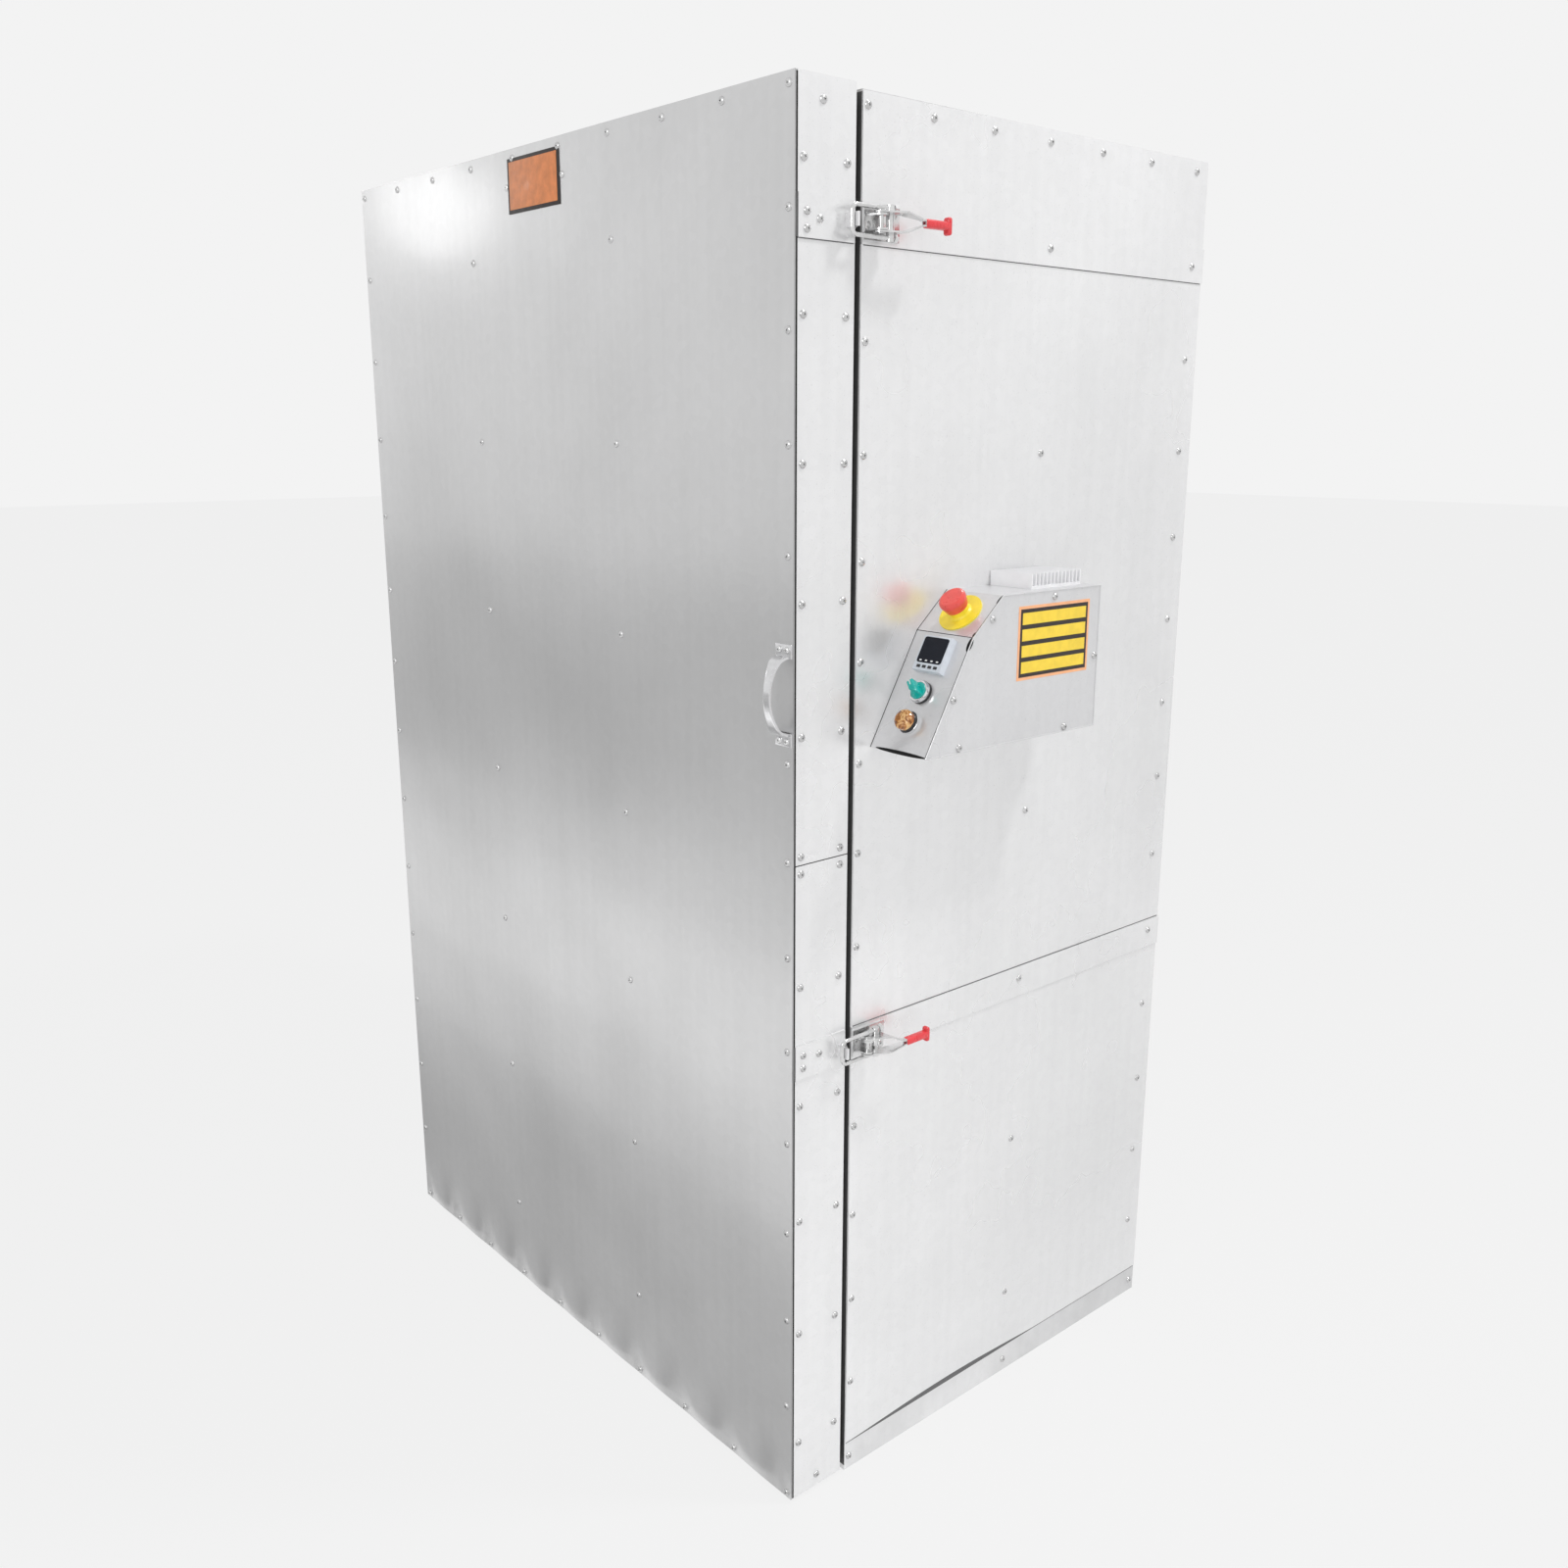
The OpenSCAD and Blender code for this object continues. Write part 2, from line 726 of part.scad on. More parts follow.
// The bow is a D: two corner arcs that run into a flatter middle arc, here without its ends
module bow_outline(shrink) {
    half = handle_l / 2 - handle_foot / 2;
    corner_out = handle_out - 4;
    corner_r = 0.7 * corner_out;
    corner_z = half - corner_r;
    middle_r = (corner_out * corner_out + corner_z * corner_z - corner_r * corner_r) / (2 * (corner_out - corner_r));
    centre = middle_r - handle_out;
    for (side = [-1, 1]) translate([-4, side * corner_z]) circle(r = corner_r - shrink);
    intersection() {
        translate([centre, 0]) circle(r = middle_r - shrink);
        polygon([[centre, 0], [centre - 1.5 * (centre + 4), 1.5 * corner_z], [centre - 1.5 * (centre + 4), -1.5 * corner_z]]);
    }
    translate([-4, shrink - half]) square([5, 2 * (half - shrink)]);
}

module door_handle() {
    inner = handle_l / 2 - handle_foot / 2;
    strap = 3.5;
    waist = [for (i = [-12 : 12]) [handle_w / 5 + (handle_w / 5) * pow(abs(i) / 12, 3), i * inner / 12]];
    color("silver") translate([right_x - handle_edge, door_front_y, handle_z]) {
        for (side = [-1, 1]) mirror([0, 0, side < 0 ? 1 : 0]) translate([-handle_w / 2, -strap, inner - strap])
            cube([handle_w, strap, handle_foot + strap]);
        intersection() {
            rotate([90, 0, 90]) linear_extrude(handle_w, center = true) difference() {
                bow_outline(0);
                bow_outline(strap);
                translate([-eps / 2, -inner - 1]) square([handle_out + 200, 2 * inner + 2]);
            }
            rotate([90, 0, 0]) translate([0, 0, -1]) linear_extrude(handle_out + 2)
                polygon(concat(waist, [for (p = waist) [-p[0], -p[1]]]));
        }
    }
}

right_wall();
left_wall();
rear_wall();
roof_panel();
base_panel();
inner_liner();
front_frame();
door_gasket();
foot_flashing();
strap_upper();
strap_lower();
latch_base_upper();
latch_base_lower();
control_box();
control_cover();
heat_sink();
temperature_controller();
stop_ring();
selector_bezel();
lamp_bezel();
lamp_lens();
cable_gland();
cabinet_hinges();
element_left();
element_right();
hanging_rails();
hanging_bars();
door_panel();
door_face();
door_edge_upper();
door_edge_lower();
door_liner();
door_handle();
catch_upper();
catch_lower();
door_hinges();
lever_upper();
grip_upper();
loop_upper();
lever_lower();
grip_lower();
loop_lower();
stop_button();
selector_knob();
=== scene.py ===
import bpy, bmesh, math, random
from mathutils import Matrix, Vector, noise


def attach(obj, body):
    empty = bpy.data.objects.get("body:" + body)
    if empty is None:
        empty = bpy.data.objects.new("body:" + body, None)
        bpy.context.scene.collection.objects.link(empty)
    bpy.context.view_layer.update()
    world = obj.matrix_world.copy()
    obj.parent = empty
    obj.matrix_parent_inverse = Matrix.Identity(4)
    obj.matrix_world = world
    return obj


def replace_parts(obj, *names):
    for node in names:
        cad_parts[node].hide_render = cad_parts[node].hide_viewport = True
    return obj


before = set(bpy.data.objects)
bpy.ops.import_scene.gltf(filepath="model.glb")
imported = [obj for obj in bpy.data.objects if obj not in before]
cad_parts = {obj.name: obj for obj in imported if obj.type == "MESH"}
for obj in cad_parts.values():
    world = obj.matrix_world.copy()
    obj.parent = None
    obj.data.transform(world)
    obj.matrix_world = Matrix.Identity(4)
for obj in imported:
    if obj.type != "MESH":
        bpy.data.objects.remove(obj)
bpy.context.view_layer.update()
random.seed(7)
print("frame loaded:", len(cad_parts), "nodes")

# Lengths of the pieces are in millimetres in the CAD's frame, and addPiece turns them into metres
oven = {"right": 550.5, "front": -351.5, "rear": 351.5, "height": 1862, "doorFront": -454,
        "doorBack": -360.5, "doorLow": 6, "doorHigh": 1869, "trimTop": 44, "strap": 2.5, "strapHalf": 24,
        "recess": 4, "hinges": (236, 937.5, 1639), "latches": {"upper": 1718, "lower": 676}}


# Materials, with lengths in metres
def newMaterial(name, roughness=0.4, metallic=0.0):
    material = bpy.data.materials.new(name)
    material.use_nodes = True
    shader = material.node_tree.nodes["Principled BSDF"]
    shader.inputs["Roughness"].default_value = roughness
    shader.inputs["Metallic"].default_value = metallic
    return material, material.node_tree, shader


def mapped(tree, stretch=(1, 1, 1)):
    coords = tree.nodes.new("ShaderNodeTexCoord")
    mapping = tree.nodes.new("ShaderNodeMapping")
    mapping.inputs["Scale"].default_value = stretch
    tree.links.new(coords.outputs["Object"], mapping.inputs["Vector"])
    return mapping.outputs["Vector"]


def noiseNode(tree, vector, scale, detail=3.0, rough=0.5, distortion=0.0):
    node = tree.nodes.new("ShaderNodeTexNoise")
    node.inputs["Scale"].default_value = scale
    node.inputs["Detail"].default_value = detail
    node.inputs["Roughness"].default_value = rough
    node.inputs["Distortion"].default_value = distortion
    tree.links.new(vector, node.inputs["Vector"])
    return node.outputs["Fac"]


def cells(tree, vector, scale, output="Color"):
    node = tree.nodes.new("ShaderNodeTexVoronoi")
    node.inputs["Scale"].default_value = scale
    tree.links.new(vector, node.inputs["Vector"])
    return node.outputs[output]


def ramp(tree, factor, stops):
    node = tree.nodes.new("ShaderNodeValToRGB")
    while len(node.color_ramp.elements) < len(stops):
        node.color_ramp.elements.new(0.5)
    for element, (place, colour) in zip(node.color_ramp.elements, stops):
        element.position = place
        element.color = (*colour, 1)
    tree.links.new(factor, node.inputs["Fac"])
    return node.outputs["Color"]


def mixed(tree, first, second, factor):
    node = tree.nodes.new("ShaderNodeMix")
    node.data_type = "RGBA"
    node.blend_type = "MULTIPLY"
    node.inputs[0].default_value = factor
    sockets = {s.name: s for s in node.inputs if s.type == "RGBA"}
    tree.links.new(first, sockets["A"])
    tree.links.new(second, sockets["B"])
    return [s for s in node.outputs if s.type == "RGBA"][0]


def mathNode(tree, operation, first, second=None):
    node = tree.nodes.new("ShaderNodeMath")
    node.operation = operation
    tree.links.new(first, node.inputs[0])
    if isinstance(second, float):
        node.inputs[1].default_value = second
    elif second is not None:
        tree.links.new(second, node.inputs[1])
    return node.outputs[0]


def ranged(tree, value, low, high, fromLow=0.3, fromHigh=0.7):
    node = tree.nodes.new("ShaderNodeMapRange")
    node.inputs["From Min"].default_value = fromLow
    node.inputs["From Max"].default_value = fromHigh
    node.inputs["To Min"].default_value = low
    node.inputs["To Max"].default_value = high
    tree.links.new(value, node.inputs["Value"])
    return node.outputs["Result"]


def bumped(tree, shader, layers):
    last = None
    for height, strength, distance in layers:
        node = tree.nodes.new("ShaderNodeBump")
        node.inputs["Strength"].default_value = strength
        node.inputs["Distance"].default_value = distance
        tree.links.new(height, node.inputs["Height"])
        if last:
            tree.links.new(last, node.inputs["Normal"])
        last = node.outputs["Normal"]
    tree.links.new(last, shader.inputs["Normal"])


def ripples(tree, look):
    coords = tree.nodes.new("ShaderNodeTexCoord")
    split = tree.nodes.new("ShaderNodeSeparateXYZ")
    tree.links.new(coords.outputs["Object"], split.inputs["Vector"])
    along = mathNode(tree, "ADD", split.outputs["X"], look["shift"])
    along = mathNode(tree, "MULTIPLY", along, 2 * math.pi / look["pitch"])
    along = mathNode(tree, "ADD", along, noiseNode(tree, mapped(tree), 9, 1))
    fade = ranged(tree, split.outputs["Z"], 0.5, 0.0, look["low"], look["high"])
    folds = mathNode(tree, "MULTIPLY", mathNode(tree, "SINE", along), fade)
    return mathNode(tree, "ADD", folds, 0.5)


def zincSheet(name, look):
    material, tree, shader = newMaterial(name, metallic=look["metallic"])
    place = mapped(tree)
    rolled = mapped(tree, look["grain"])
    # cloudy tone: partly the sheet's own galvanised mottling, partly painted reflection of darker and
    # brighter surroundings
    cloud = noiseNode(tree, place, look["cloudScale"], 3, 0.55, 0.4)
    tone = ramp(tree, cloud, [(0.32, look["dark"]), (0.5, look["middle"]), (0.68, look["light"])])
    spangle = ramp(tree, cells(tree, place, look["spangleScale"]), [(0.0, (0.93,) * 3), (1.0, (1.0,) * 3)])
    tone = mixed(tree, tone, spangle, look["spangle"])
    streak = ramp(tree, noiseNode(tree, rolled, 60, 2), [(0.35, (0.94,) * 3), (0.65, (1.0,) * 3)])
    tone = mixed(tree, tone, streak, look["streak"])
    fleck = ramp(tree, noiseNode(tree, place, 420, 2, 0.7), [(0.24, (0.72,) * 3), (0.36, (1.0,) * 3)])
    tone = mixed(tree, tone, fleck, look["fleck"])
    layers = []
    if "ripple" in look:  # the sheet buckles between the screws of its lower edge
        folds = ripples(tree, look["ripple"])
        layers = [(folds, 1.0, look["ripple"]["deep"])]
        # painted shade and highlight: the base colour is darkened on one side of each ripple and lightened
        # on the other
        shade = ramp(tree, folds, [(0.0, (0.8,) * 3), (0.5, (1.0,) * 3), (1.0, (1.12,) * 3)])
        tone = mixed(tree, tone, shade, 1.0)
    tree.links.new(tone, shader.inputs["Base Color"])
    haze = noiseNode(tree, place, 2.3, 4, 0.6)
    tree.links.new(ranged(tree, haze, *look["roughness"]), shader.inputs["Roughness"])
    shader.inputs["Coat Weight"].default_value = look["coat"]
    shader.inputs["Coat IOR"].default_value = 1.8
    shader.inputs["Coat Roughness"].default_value = 0.12
    layers += [(noiseNode(tree, place, 1.7, 1), look["canning"], 0.02),
               (cells(tree, place, look["spangleScale"], "Distance"), 0.05, 0.002),
               (noiseNode(tree, place, 300, 2), look["grit"], 0.0004)]
    bumped(tree, shader, layers)
    return material


def platedSteel(name, tone, roughness, wear=0.5):
    material, tree, shader = newMaterial(name, roughness, 1.0)
    place = mapped(tree)
    blotch = noiseNode(tree, place, 45, 4, 0.6)
    dark = tuple(c * 0.82 for c in tone)
    base = ramp(tree, blotch, [(0.3, dark), (0.6, tone)])
    scratch = ramp(tree, noiseNode(tree, place, 900, 2), [(0.3, (0.9,) * 3), (0.6, (1,) * 3)])
    base = mixed(tree, base, scratch, wear)
    tree.links.new(base, shader.inputs["Base Color"])
    tree.links.new(ranged(tree, blotch, roughness * 0.75, roughness * 1.3), shader.inputs["Roughness"])
    bumped(tree, shader, [(noiseNode(tree, place, 500, 2), 0.08, 0.0003)])
    return material


def moulded(name, tone, roughness, grit=0.1, coat=0.0, speckle=0.06):
    material, tree, shader = newMaterial(name, roughness)
    place = mapped(tree)
    low = tuple(c * (1 - speckle * 2) for c in tone)
    base = ramp(tree, noiseNode(tree, place, 70, 3), [(0.3, low), (0.65, tone)])
    tree.links.new(base, shader.inputs["Base Color"])
    tree.links.new(ranged(tree, noiseNode(tree, place, 160, 2), roughness * 0.85, roughness * 1.2),
                   shader.inputs["Roughness"])
    shader.inputs["Coat Weight"].default_value = coat
    shader.inputs["Coat Roughness"].default_value = 0.1
    bumped(tree, shader, [(noiseNode(tree, place, 900, 2), grit, 0.0003)])
    return material


sheetLook = {"metallic": 0.5, "grain": (1, 1, 0.03), "cloudScale": 1.15, "dark": (0.76, 0.76, 0.765),
             "middle": (0.82, 0.82, 0.825), "light": (0.88, 0.88, 0.885), "spangleScale": 85, "spangle": 0.5,
             "streak": 0.35, "fleck": 0.75, "roughness": (0.24, 0.36), "canning": 0.10, "grit": 0.12,
             "coat": 0.0}
# The door is the same zinc sheet as the walls; its darker tones are painted shade for the darker
# surroundings it reflects
shadedDoorLook = dict(sheetLook, dark=(0.53, 0.53, 0.532), middle=(0.62, 0.62, 0.623), light=(0.70, 0.70, 0.703),
                roughness=(0.27, 0.38), fleck=0.3, metallic=0.8, coat=0.6,
                ripple={"shift": 0.535, "pitch": 0.12, "low": 0.006, "high": 0.11, "deep": 0.012})
trimLook = dict(sheetLook, dark=(0.62, 0.62, 0.625), middle=(0.70, 0.70, 0.705), light=(0.80, 0.80, 0.805),
                cloudScale=5.0, fleck=0.9)
linerLook = dict(sheetLook, dark=(0.50, 0.485, 0.46), middle=(0.58, 0.57, 0.55), light=(0.64, 0.635, 0.62),
                 roughness=(0.34, 0.5), metallic=0.8)
boxLook = dict(sheetLook, spangleScale=140, dark=(0.62, 0.62, 0.63), middle=(0.68, 0.68, 0.69),
               light=(0.74, 0.74, 0.75), canning=0.03)
wallZinc = zincSheet("wallZinc", sheetLook)
shadedDoorZinc = zincSheet("shadedDoorZinc", shadedDoorLook)
trimZinc = zincSheet("trimZinc", trimLook)
linerZinc = zincSheet("linerZinc", linerLook)
boxZinc = zincSheet("boxZinc", boxLook)
brightZinc = platedSteel("brightZinc", (0.78, 0.78, 0.78), 0.2)
plateZinc = zincSheet("plateZinc", dict(sheetLook, spangleScale=200, canning=0.02, fleck=0.6))
handleSteel = platedSteel("handleSteel", (0.74, 0.74, 0.75), 0.14, wear=0.3)
polished = platedSteel("polished", (0.90, 0.90, 0.91), 0.10, wear=0.2)
screwZinc = platedSteel("screwZinc", (0.66, 0.66, 0.66), 0.26)
hingeSteel = platedSteel("hingeSteel", (0.62, 0.62, 0.63), 0.34)
sinkMetal = moulded("sinkMetal", (0.90, 0.90, 0.91), 0.42, 0.05, speckle=0.02)
sinkMetal.node_tree.nodes["Principled BSDF"].inputs["Metallic"].default_value = 0.25
sheathMetal = platedSteel("sheathMetal", (0.20, 0.185, 0.17), 0.42)
blackPlastic = moulded("blackPlastic", (0.018, 0.018, 0.02), 0.35)
greyPlastic = moulded("greyPlastic", (0.66, 0.70, 0.76), 0.32)
yellowPlastic = moulded("yellowPlastic", (0.93, 0.76, 0.05), 0.36)
redPlastic = moulded("redPlastic", (0.78, 0.075, 0.06), 0.3, coat=0.3)
redVinyl = moulded("redVinyl", (0.72, 0.035, 0.045), 0.28, 0.2, 0.4)
tealPlastic = moulded("tealPlastic", (0.0, 0.42, 0.37), 0.25, coat=0.4)
whitePlastic = moulded("whitePlastic", (0.82, 0.82, 0.82), 0.35)
darkGlass = moulded("darkGlass", (0.009, 0.011, 0.018), 0.22, 0.02, 0.05)
darkGlass.node_tree.nodes["Principled BSDF"].inputs["Specular IOR Level"].default_value = 0.15
# Near-black painted shade for the door's seams, the door's side of the door gap and the box's folds
shadeBlack = moulded("shadeBlack", (0.012, 0.012, 0.012), 0.7, 0.5)
shadeBlack.node_tree.nodes["Principled BSDF"].inputs["Specular IOR Level"].default_value = 0.15
# Grey painted shade for the crack under the right wall's sheet and the lines beside the straps and catches
shadeGrey = moulded("shadeGrey", (0.14, 0.14, 0.142), 0.7, 0.5)
# Painted shade on the cabinet's side of the door gap
frameGapShade = moulded("frameGapShade", (0.10, 0.10, 0.10), 0.6, 0.4)
copperTone = moulded("copperTone", (0.80, 0.27, 0.09), 0.38, 0.3, 0.15, 0.12)
labelYellow = moulded("labelYellow", (0.92, 0.66, 0.06), 0.4, 0.05)
labelDark = moulded("labelDark", (0.02, 0.014, 0.012), 0.4, 0.05)
labelEdge = moulded("labelEdge", (0.93, 0.46, 0.24), 0.4, 0.05)
terminalWhite = moulded("terminalWhite", (0.72, 0.70, 0.66), 0.5)


def amberLens():
    material, tree, shader = newMaterial("amberLens", 0.12)
    place = mapped(tree)
    facets = noiseNode(tree, place, 95, 3, 0.55, 2.2)
    amber = ramp(tree, facets, [(0.36, (0.16, 0.045, 0.006)), (0.5, (0.52, 0.19, 0.03)),
                                (0.62, (0.90, 0.55, 0.22))])
    tree.links.new(amber, shader.inputs["Base Color"])
    shader.inputs["Transmission Weight"].default_value = 0.15
    shader.inputs["IOR"].default_value = 1.49
    shader.inputs["Coat Weight"].default_value = 0.6
    bumped(tree, shader, [(facets, 0.6, 0.002)])
    return material


def wovenRope():
    material, tree, shader = newMaterial("wovenRope", 0.85)
    across = tree.nodes.new("ShaderNodeTexWave")
    across.bands_direction = "DIAGONAL"
    across.inputs["Scale"].default_value = 90
    across.inputs["Distortion"].default_value = 1.5
    tree.links.new(mapped(tree), across.inputs["Vector"])
    strands = ramp(tree, across.outputs["Fac"], [(0.2, (0.004, 0.004, 0.004)), (0.8, (0.018, 0.018, 0.017))])
    tree.links.new(strands, shader.inputs["Base Color"])
    shader.inputs["Specular IOR Level"].default_value = 0.1
    bumped(tree, shader, [(across.outputs["Fac"], 0.7, 0.0015)])
    return material


lensAmber = amberLens()
ropeBlack = wovenRope()

nodeFinish = {
    wallZinc: ["right_wall", "left_wall", "rear_wall", "roof_panel", "front_frame", "strap_upper",
               "strap_lower", "door_edge_upper", "door_edge_lower"],
    trimZinc: ["foot_flashing", "base_panel"],
    shadedDoorZinc: ["door_panel", "door_face"],
    boxZinc: ["control_box", "control_cover"],
    linerZinc: ["inner_liner", "door_liner", "hanging_rails"],
    plateZinc: ["catch_upper", "catch_lower"],
    brightZinc: ["latch_base_upper", "latch_base_lower", "lever_upper", "lever_lower", "loop_upper",
                 "loop_lower", "hanging_bars"],
    hingeSteel: ["cabinet_hinges", "door_hinges"],
    polished: ["selector_bezel"],
    handleSteel: ["door_handle"],
    ropeBlack: ["door_gasket"],
    sinkMetal: ["heat_sink"],
    blackPlastic: ["cable_gland", "lamp_bezel"],
    greyPlastic: ["temperature_controller"],
    yellowPlastic: ["stop_ring"],
    redPlastic: ["stop_button"],
    redVinyl: ["grip_upper", "grip_lower"],
    tealPlastic: ["selector_knob"],
    lensAmber: ["lamp_lens"],
    sheathMetal: ["element_left", "element_right"],
}
for material, names in nodeFinish.items():
    for name in names:
        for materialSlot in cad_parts[name].material_slots:
            materialSlot.material = material
print("materials made")


# Helpers for pieces
up = (0, 0, 1)


def addPiece(name, bm, materials, body, sharp=35):
    bmesh.ops.recalc_face_normals(bm, faces=bm.faces)
    bmesh.ops.transform(bm, matrix=Matrix.Scale(0.001, 4), verts=bm.verts)
    for edge in bm.edges:
        edge.smooth = edge.calc_face_angle(0) < math.radians(sharp)
    for face in bm.faces:
        face.smooth = True
    mesh = bpy.data.meshes.new(name)
    bm.to_mesh(mesh)
    bm.free()
    for material in materials if isinstance(materials, list) else [materials]:
        mesh.materials.append(material)
    piece = bpy.data.objects.new(name, mesh)
    bpy.context.collection.objects.link(piece)
    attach(piece, body)
    return piece


def seat(origin, outward, upward):
    z = Vector(outward).normalized()
    y = Vector(upward).normalized()
    x = y.cross(z)
    turn = Matrix((x, y, z)).transposed().to_4x4()
    return Matrix.Translation(Vector(origin)) @ turn


def addBlock(bm, low, high, at=Matrix(), bevel=0.0, segments=2, index=0):
    low, high = Vector(low), Vector(high)
    size = high - low
    shape = Matrix.Translation((low + high) / 2) @ Matrix.Diagonal((*size, 1))
    verts = bmesh.ops.create_cube(bm, size=1, matrix=at @ shape)["verts"]
    for face in {f for v in verts for f in v.link_faces}:
        face.material_index = index
    if bevel:
        edges = list({e for v in verts for e in v.link_edges})
        bmesh.ops.bevel(bm, geom=edges, offset=bevel, affect="EDGES", segments=segments, profile=0.5,
                        material=-1)


def addTurned(bm, profile, at, steps=24, index=0):
    verts = [bm.verts.new(Vector((radius, 0, height))) for radius, height in profile]
    edges = [bm.edges.new(pair) for pair in zip(verts, verts[1:])]
    known = set(bm.faces)
    bmesh.ops.spin(bm, geom=verts + edges, cent=(0, 0, 0), axis=(0, 0, 1), angle=2 * math.pi, steps=steps,
                   use_merge=True, dvec=(0, 0, 0))
    faces = [f for f in bm.faces if f not in known]
    fresh = list({v for f in faces for v in f.verts})
    bmesh.ops.transform(bm, matrix=at, verts=fresh)
    bmesh.ops.remove_doubles(bm, verts=fresh, dist=0.001)
    for face in bm.faces:
        if face not in known:
            face.material_index = index


def addRod(bm, start, end, radius, sides):
    start, end = Vector(start), Vector(end)
    turn = (end - start).to_track_quat("Z", "Y").to_matrix().to_4x4()
    bmesh.ops.create_cone(bm, cap_ends=True, segments=sides, radius1=radius, radius2=radius,
                          depth=(end - start).length, matrix=Matrix.Translation((start + end) / 2) @ turn)


# Screws: one head is made, and every row of screws is copies of it
screwHead = {"radius": 5.3, "rise": 2.9, "cross": 2.3, "sides": 12, "pinch": 0.42}


def makeHead():
    bm = bmesh.new()
    r, h, cross = screwHead["radius"], screwHead["rise"], screwHead["cross"]
    addTurned(bm, [(r, -0.6), (r, 0.5), (r * 0.84, h * 0.68), (r * 0.52, h), (cross, h * 0.97),
                   (cross * 0.8, h * 0.45), (0, h * 0.4)], Matrix(), screwHead["sides"])
    for vert in bm.verts:  # pinch the rim of the recess to a cross
        reach = vert.co.xy.length
        if 0.3 < reach < cross + 0.1 and vert.co.z > 0:
            turn = round(math.atan2(vert.co.y, vert.co.x) / (2 * math.pi) * screwHead["sides"])
            if turn % 3:
                vert.co.xy *= screwHead["pinch"]
    mesh = bpy.data.meshes.new("headPattern")
    bm.to_mesh(mesh)
    bm.free()
    return mesh


headPattern = makeHead()
screwCount = 0


def addScrews(bm, seats, size=1.0):
    global screwCount
    for at in seats:
        spin = Matrix.Rotation(random.uniform(0, math.pi / 2), 4, "Z")
        place = at @ spin @ Matrix.Scale(size, 4)
        headPattern.transform(place)
        bm.from_mesh(headPattern)
        headPattern.transform(place.inverted())
        screwCount += 1


def spread(low, high, count):
    return [low + (high - low) * i / (count - 1) for i in range(count)]


screwRows = {
    "doorX": 540, "doorColumns": 10, "innerX": (-185.5, 182.5),
    "doorRows": (12.5, 154.6, 290.5, 424.9, 558.2, 690.6, 821, 949.3, 1077.1, 1205, 1334.1, 1464.2, 1593.4,
                 1726.6, 1856),
    "innerZ": (149.5, 417, 683, 943, 1202, 1463, 1725),
    "edgeZ": (94.5, 269, 442, 612, 780, 934, 957, 1111, 1276, 1442, 1611, 1780),
    "edgeSetback": (12.8, 80), "edgeEnds": ((-412, 1843), (-407, 24)),
    "handleLow": 1095, "handleHigh": 1235,
    "linerX": 470, "linerZ": (60, 1812), "linerColumns": 9, "linerRows": 14,
    "wallRows": (19, 146.4, 281.8, 415.1, 550.6, 681, 812.5, 942.6, 1063.1, 1195.4, 1321.6, 1451, 1584.4,
                 1716, 1846.6),
    "wallFront": 9, "wallRear": 29, "topColumns": 7, "middleY": -4, "trimZ": 20, "trimRear": 12,
    "boxLow": 1075, "boxHigh": 1290, "boxFront": -330, "boxRear": 20,
    "rearX": 440, "rearColumns": 8,
    "roofX": 530, "roofColumns": 10, "roofFront": 12, "roofRear": 15, "roofRows": 6, "roofInner": (180, 40),
    "frameX": 484, "frameZ": (120, 1742), "frameRows": 11, "frameTopX": 400, "frameColumns": 7,
    "frameEnds": (62, 1800), "small": 0.8, "onSheet": 0.6, "onStrap": 2.4, "onTrim": -0.6,
    "hingeReach": 75,
}


def nearAny(z, heights, reach):
    return any(abs(z - height) < reach for height in heights)


def onFront(y, x, z):
    return seat((x, y, z), (0, -1, 0), up)


def onRear(y, x, z):
    return seat((x, y, z), (0, 1, 0), up)


def onSide(side, y, z, out=0.0):
    return seat((side * (oven["right"] + out), y, z), (side, 0, 0), up)


def doorScrews():
    rows = screwRows
    front, back, far = oven["doorFront"], oven["doorBack"], rows["doorX"]
    inner = [(x, z) for x in rows["innerX"] for z in rows["innerZ"]]
    bm = bmesh.new()
    columns = spread(-far, far, rows["doorColumns"])
    spots = [(x, z) for x in columns for z in (rows["doorRows"][0], rows["doorRows"][-1])]
    spots += [(x, z) for x in (-far, far) for z in rows["doorRows"][1:-1]]
    spots += inner
    for x, z in spots:
        if x != far or not rows["handleLow"] < z < rows["handleHigh"]:  # the handle's foot covers one
            addScrews(bm, [onFront(front - 0.2, x, z)])
    for side in (-1, 1):
        for setback in rows["edgeSetback"]:
            for z in rows["edgeZ"]:
                rearRow = setback == rows["edgeSetback"][1]
                if side > 0 or not rearRow or not nearAny(z, oven["hinges"], rows["hingeReach"]):
                    addScrews(bm, [onSide(side, front + setback, z)])
        addScrews(bm, [onSide(side, y, z) for y, z in rows["edgeEnds"]])
    far = rows["linerX"]
    rim = [(x, z) for x in spread(-far, far, rows["linerColumns"]) for z in rows["linerZ"]]
    rim += [(x, z) for x in (-far, far) for z in spread(*rows["linerZ"], rows["linerRows"])[1:-1]]
    addScrews(bm, [onRear(back, x, z) for x, z in rim + inner], rows["small"])
    return addPiece("doorScrews", bm, screwZinc, "door")


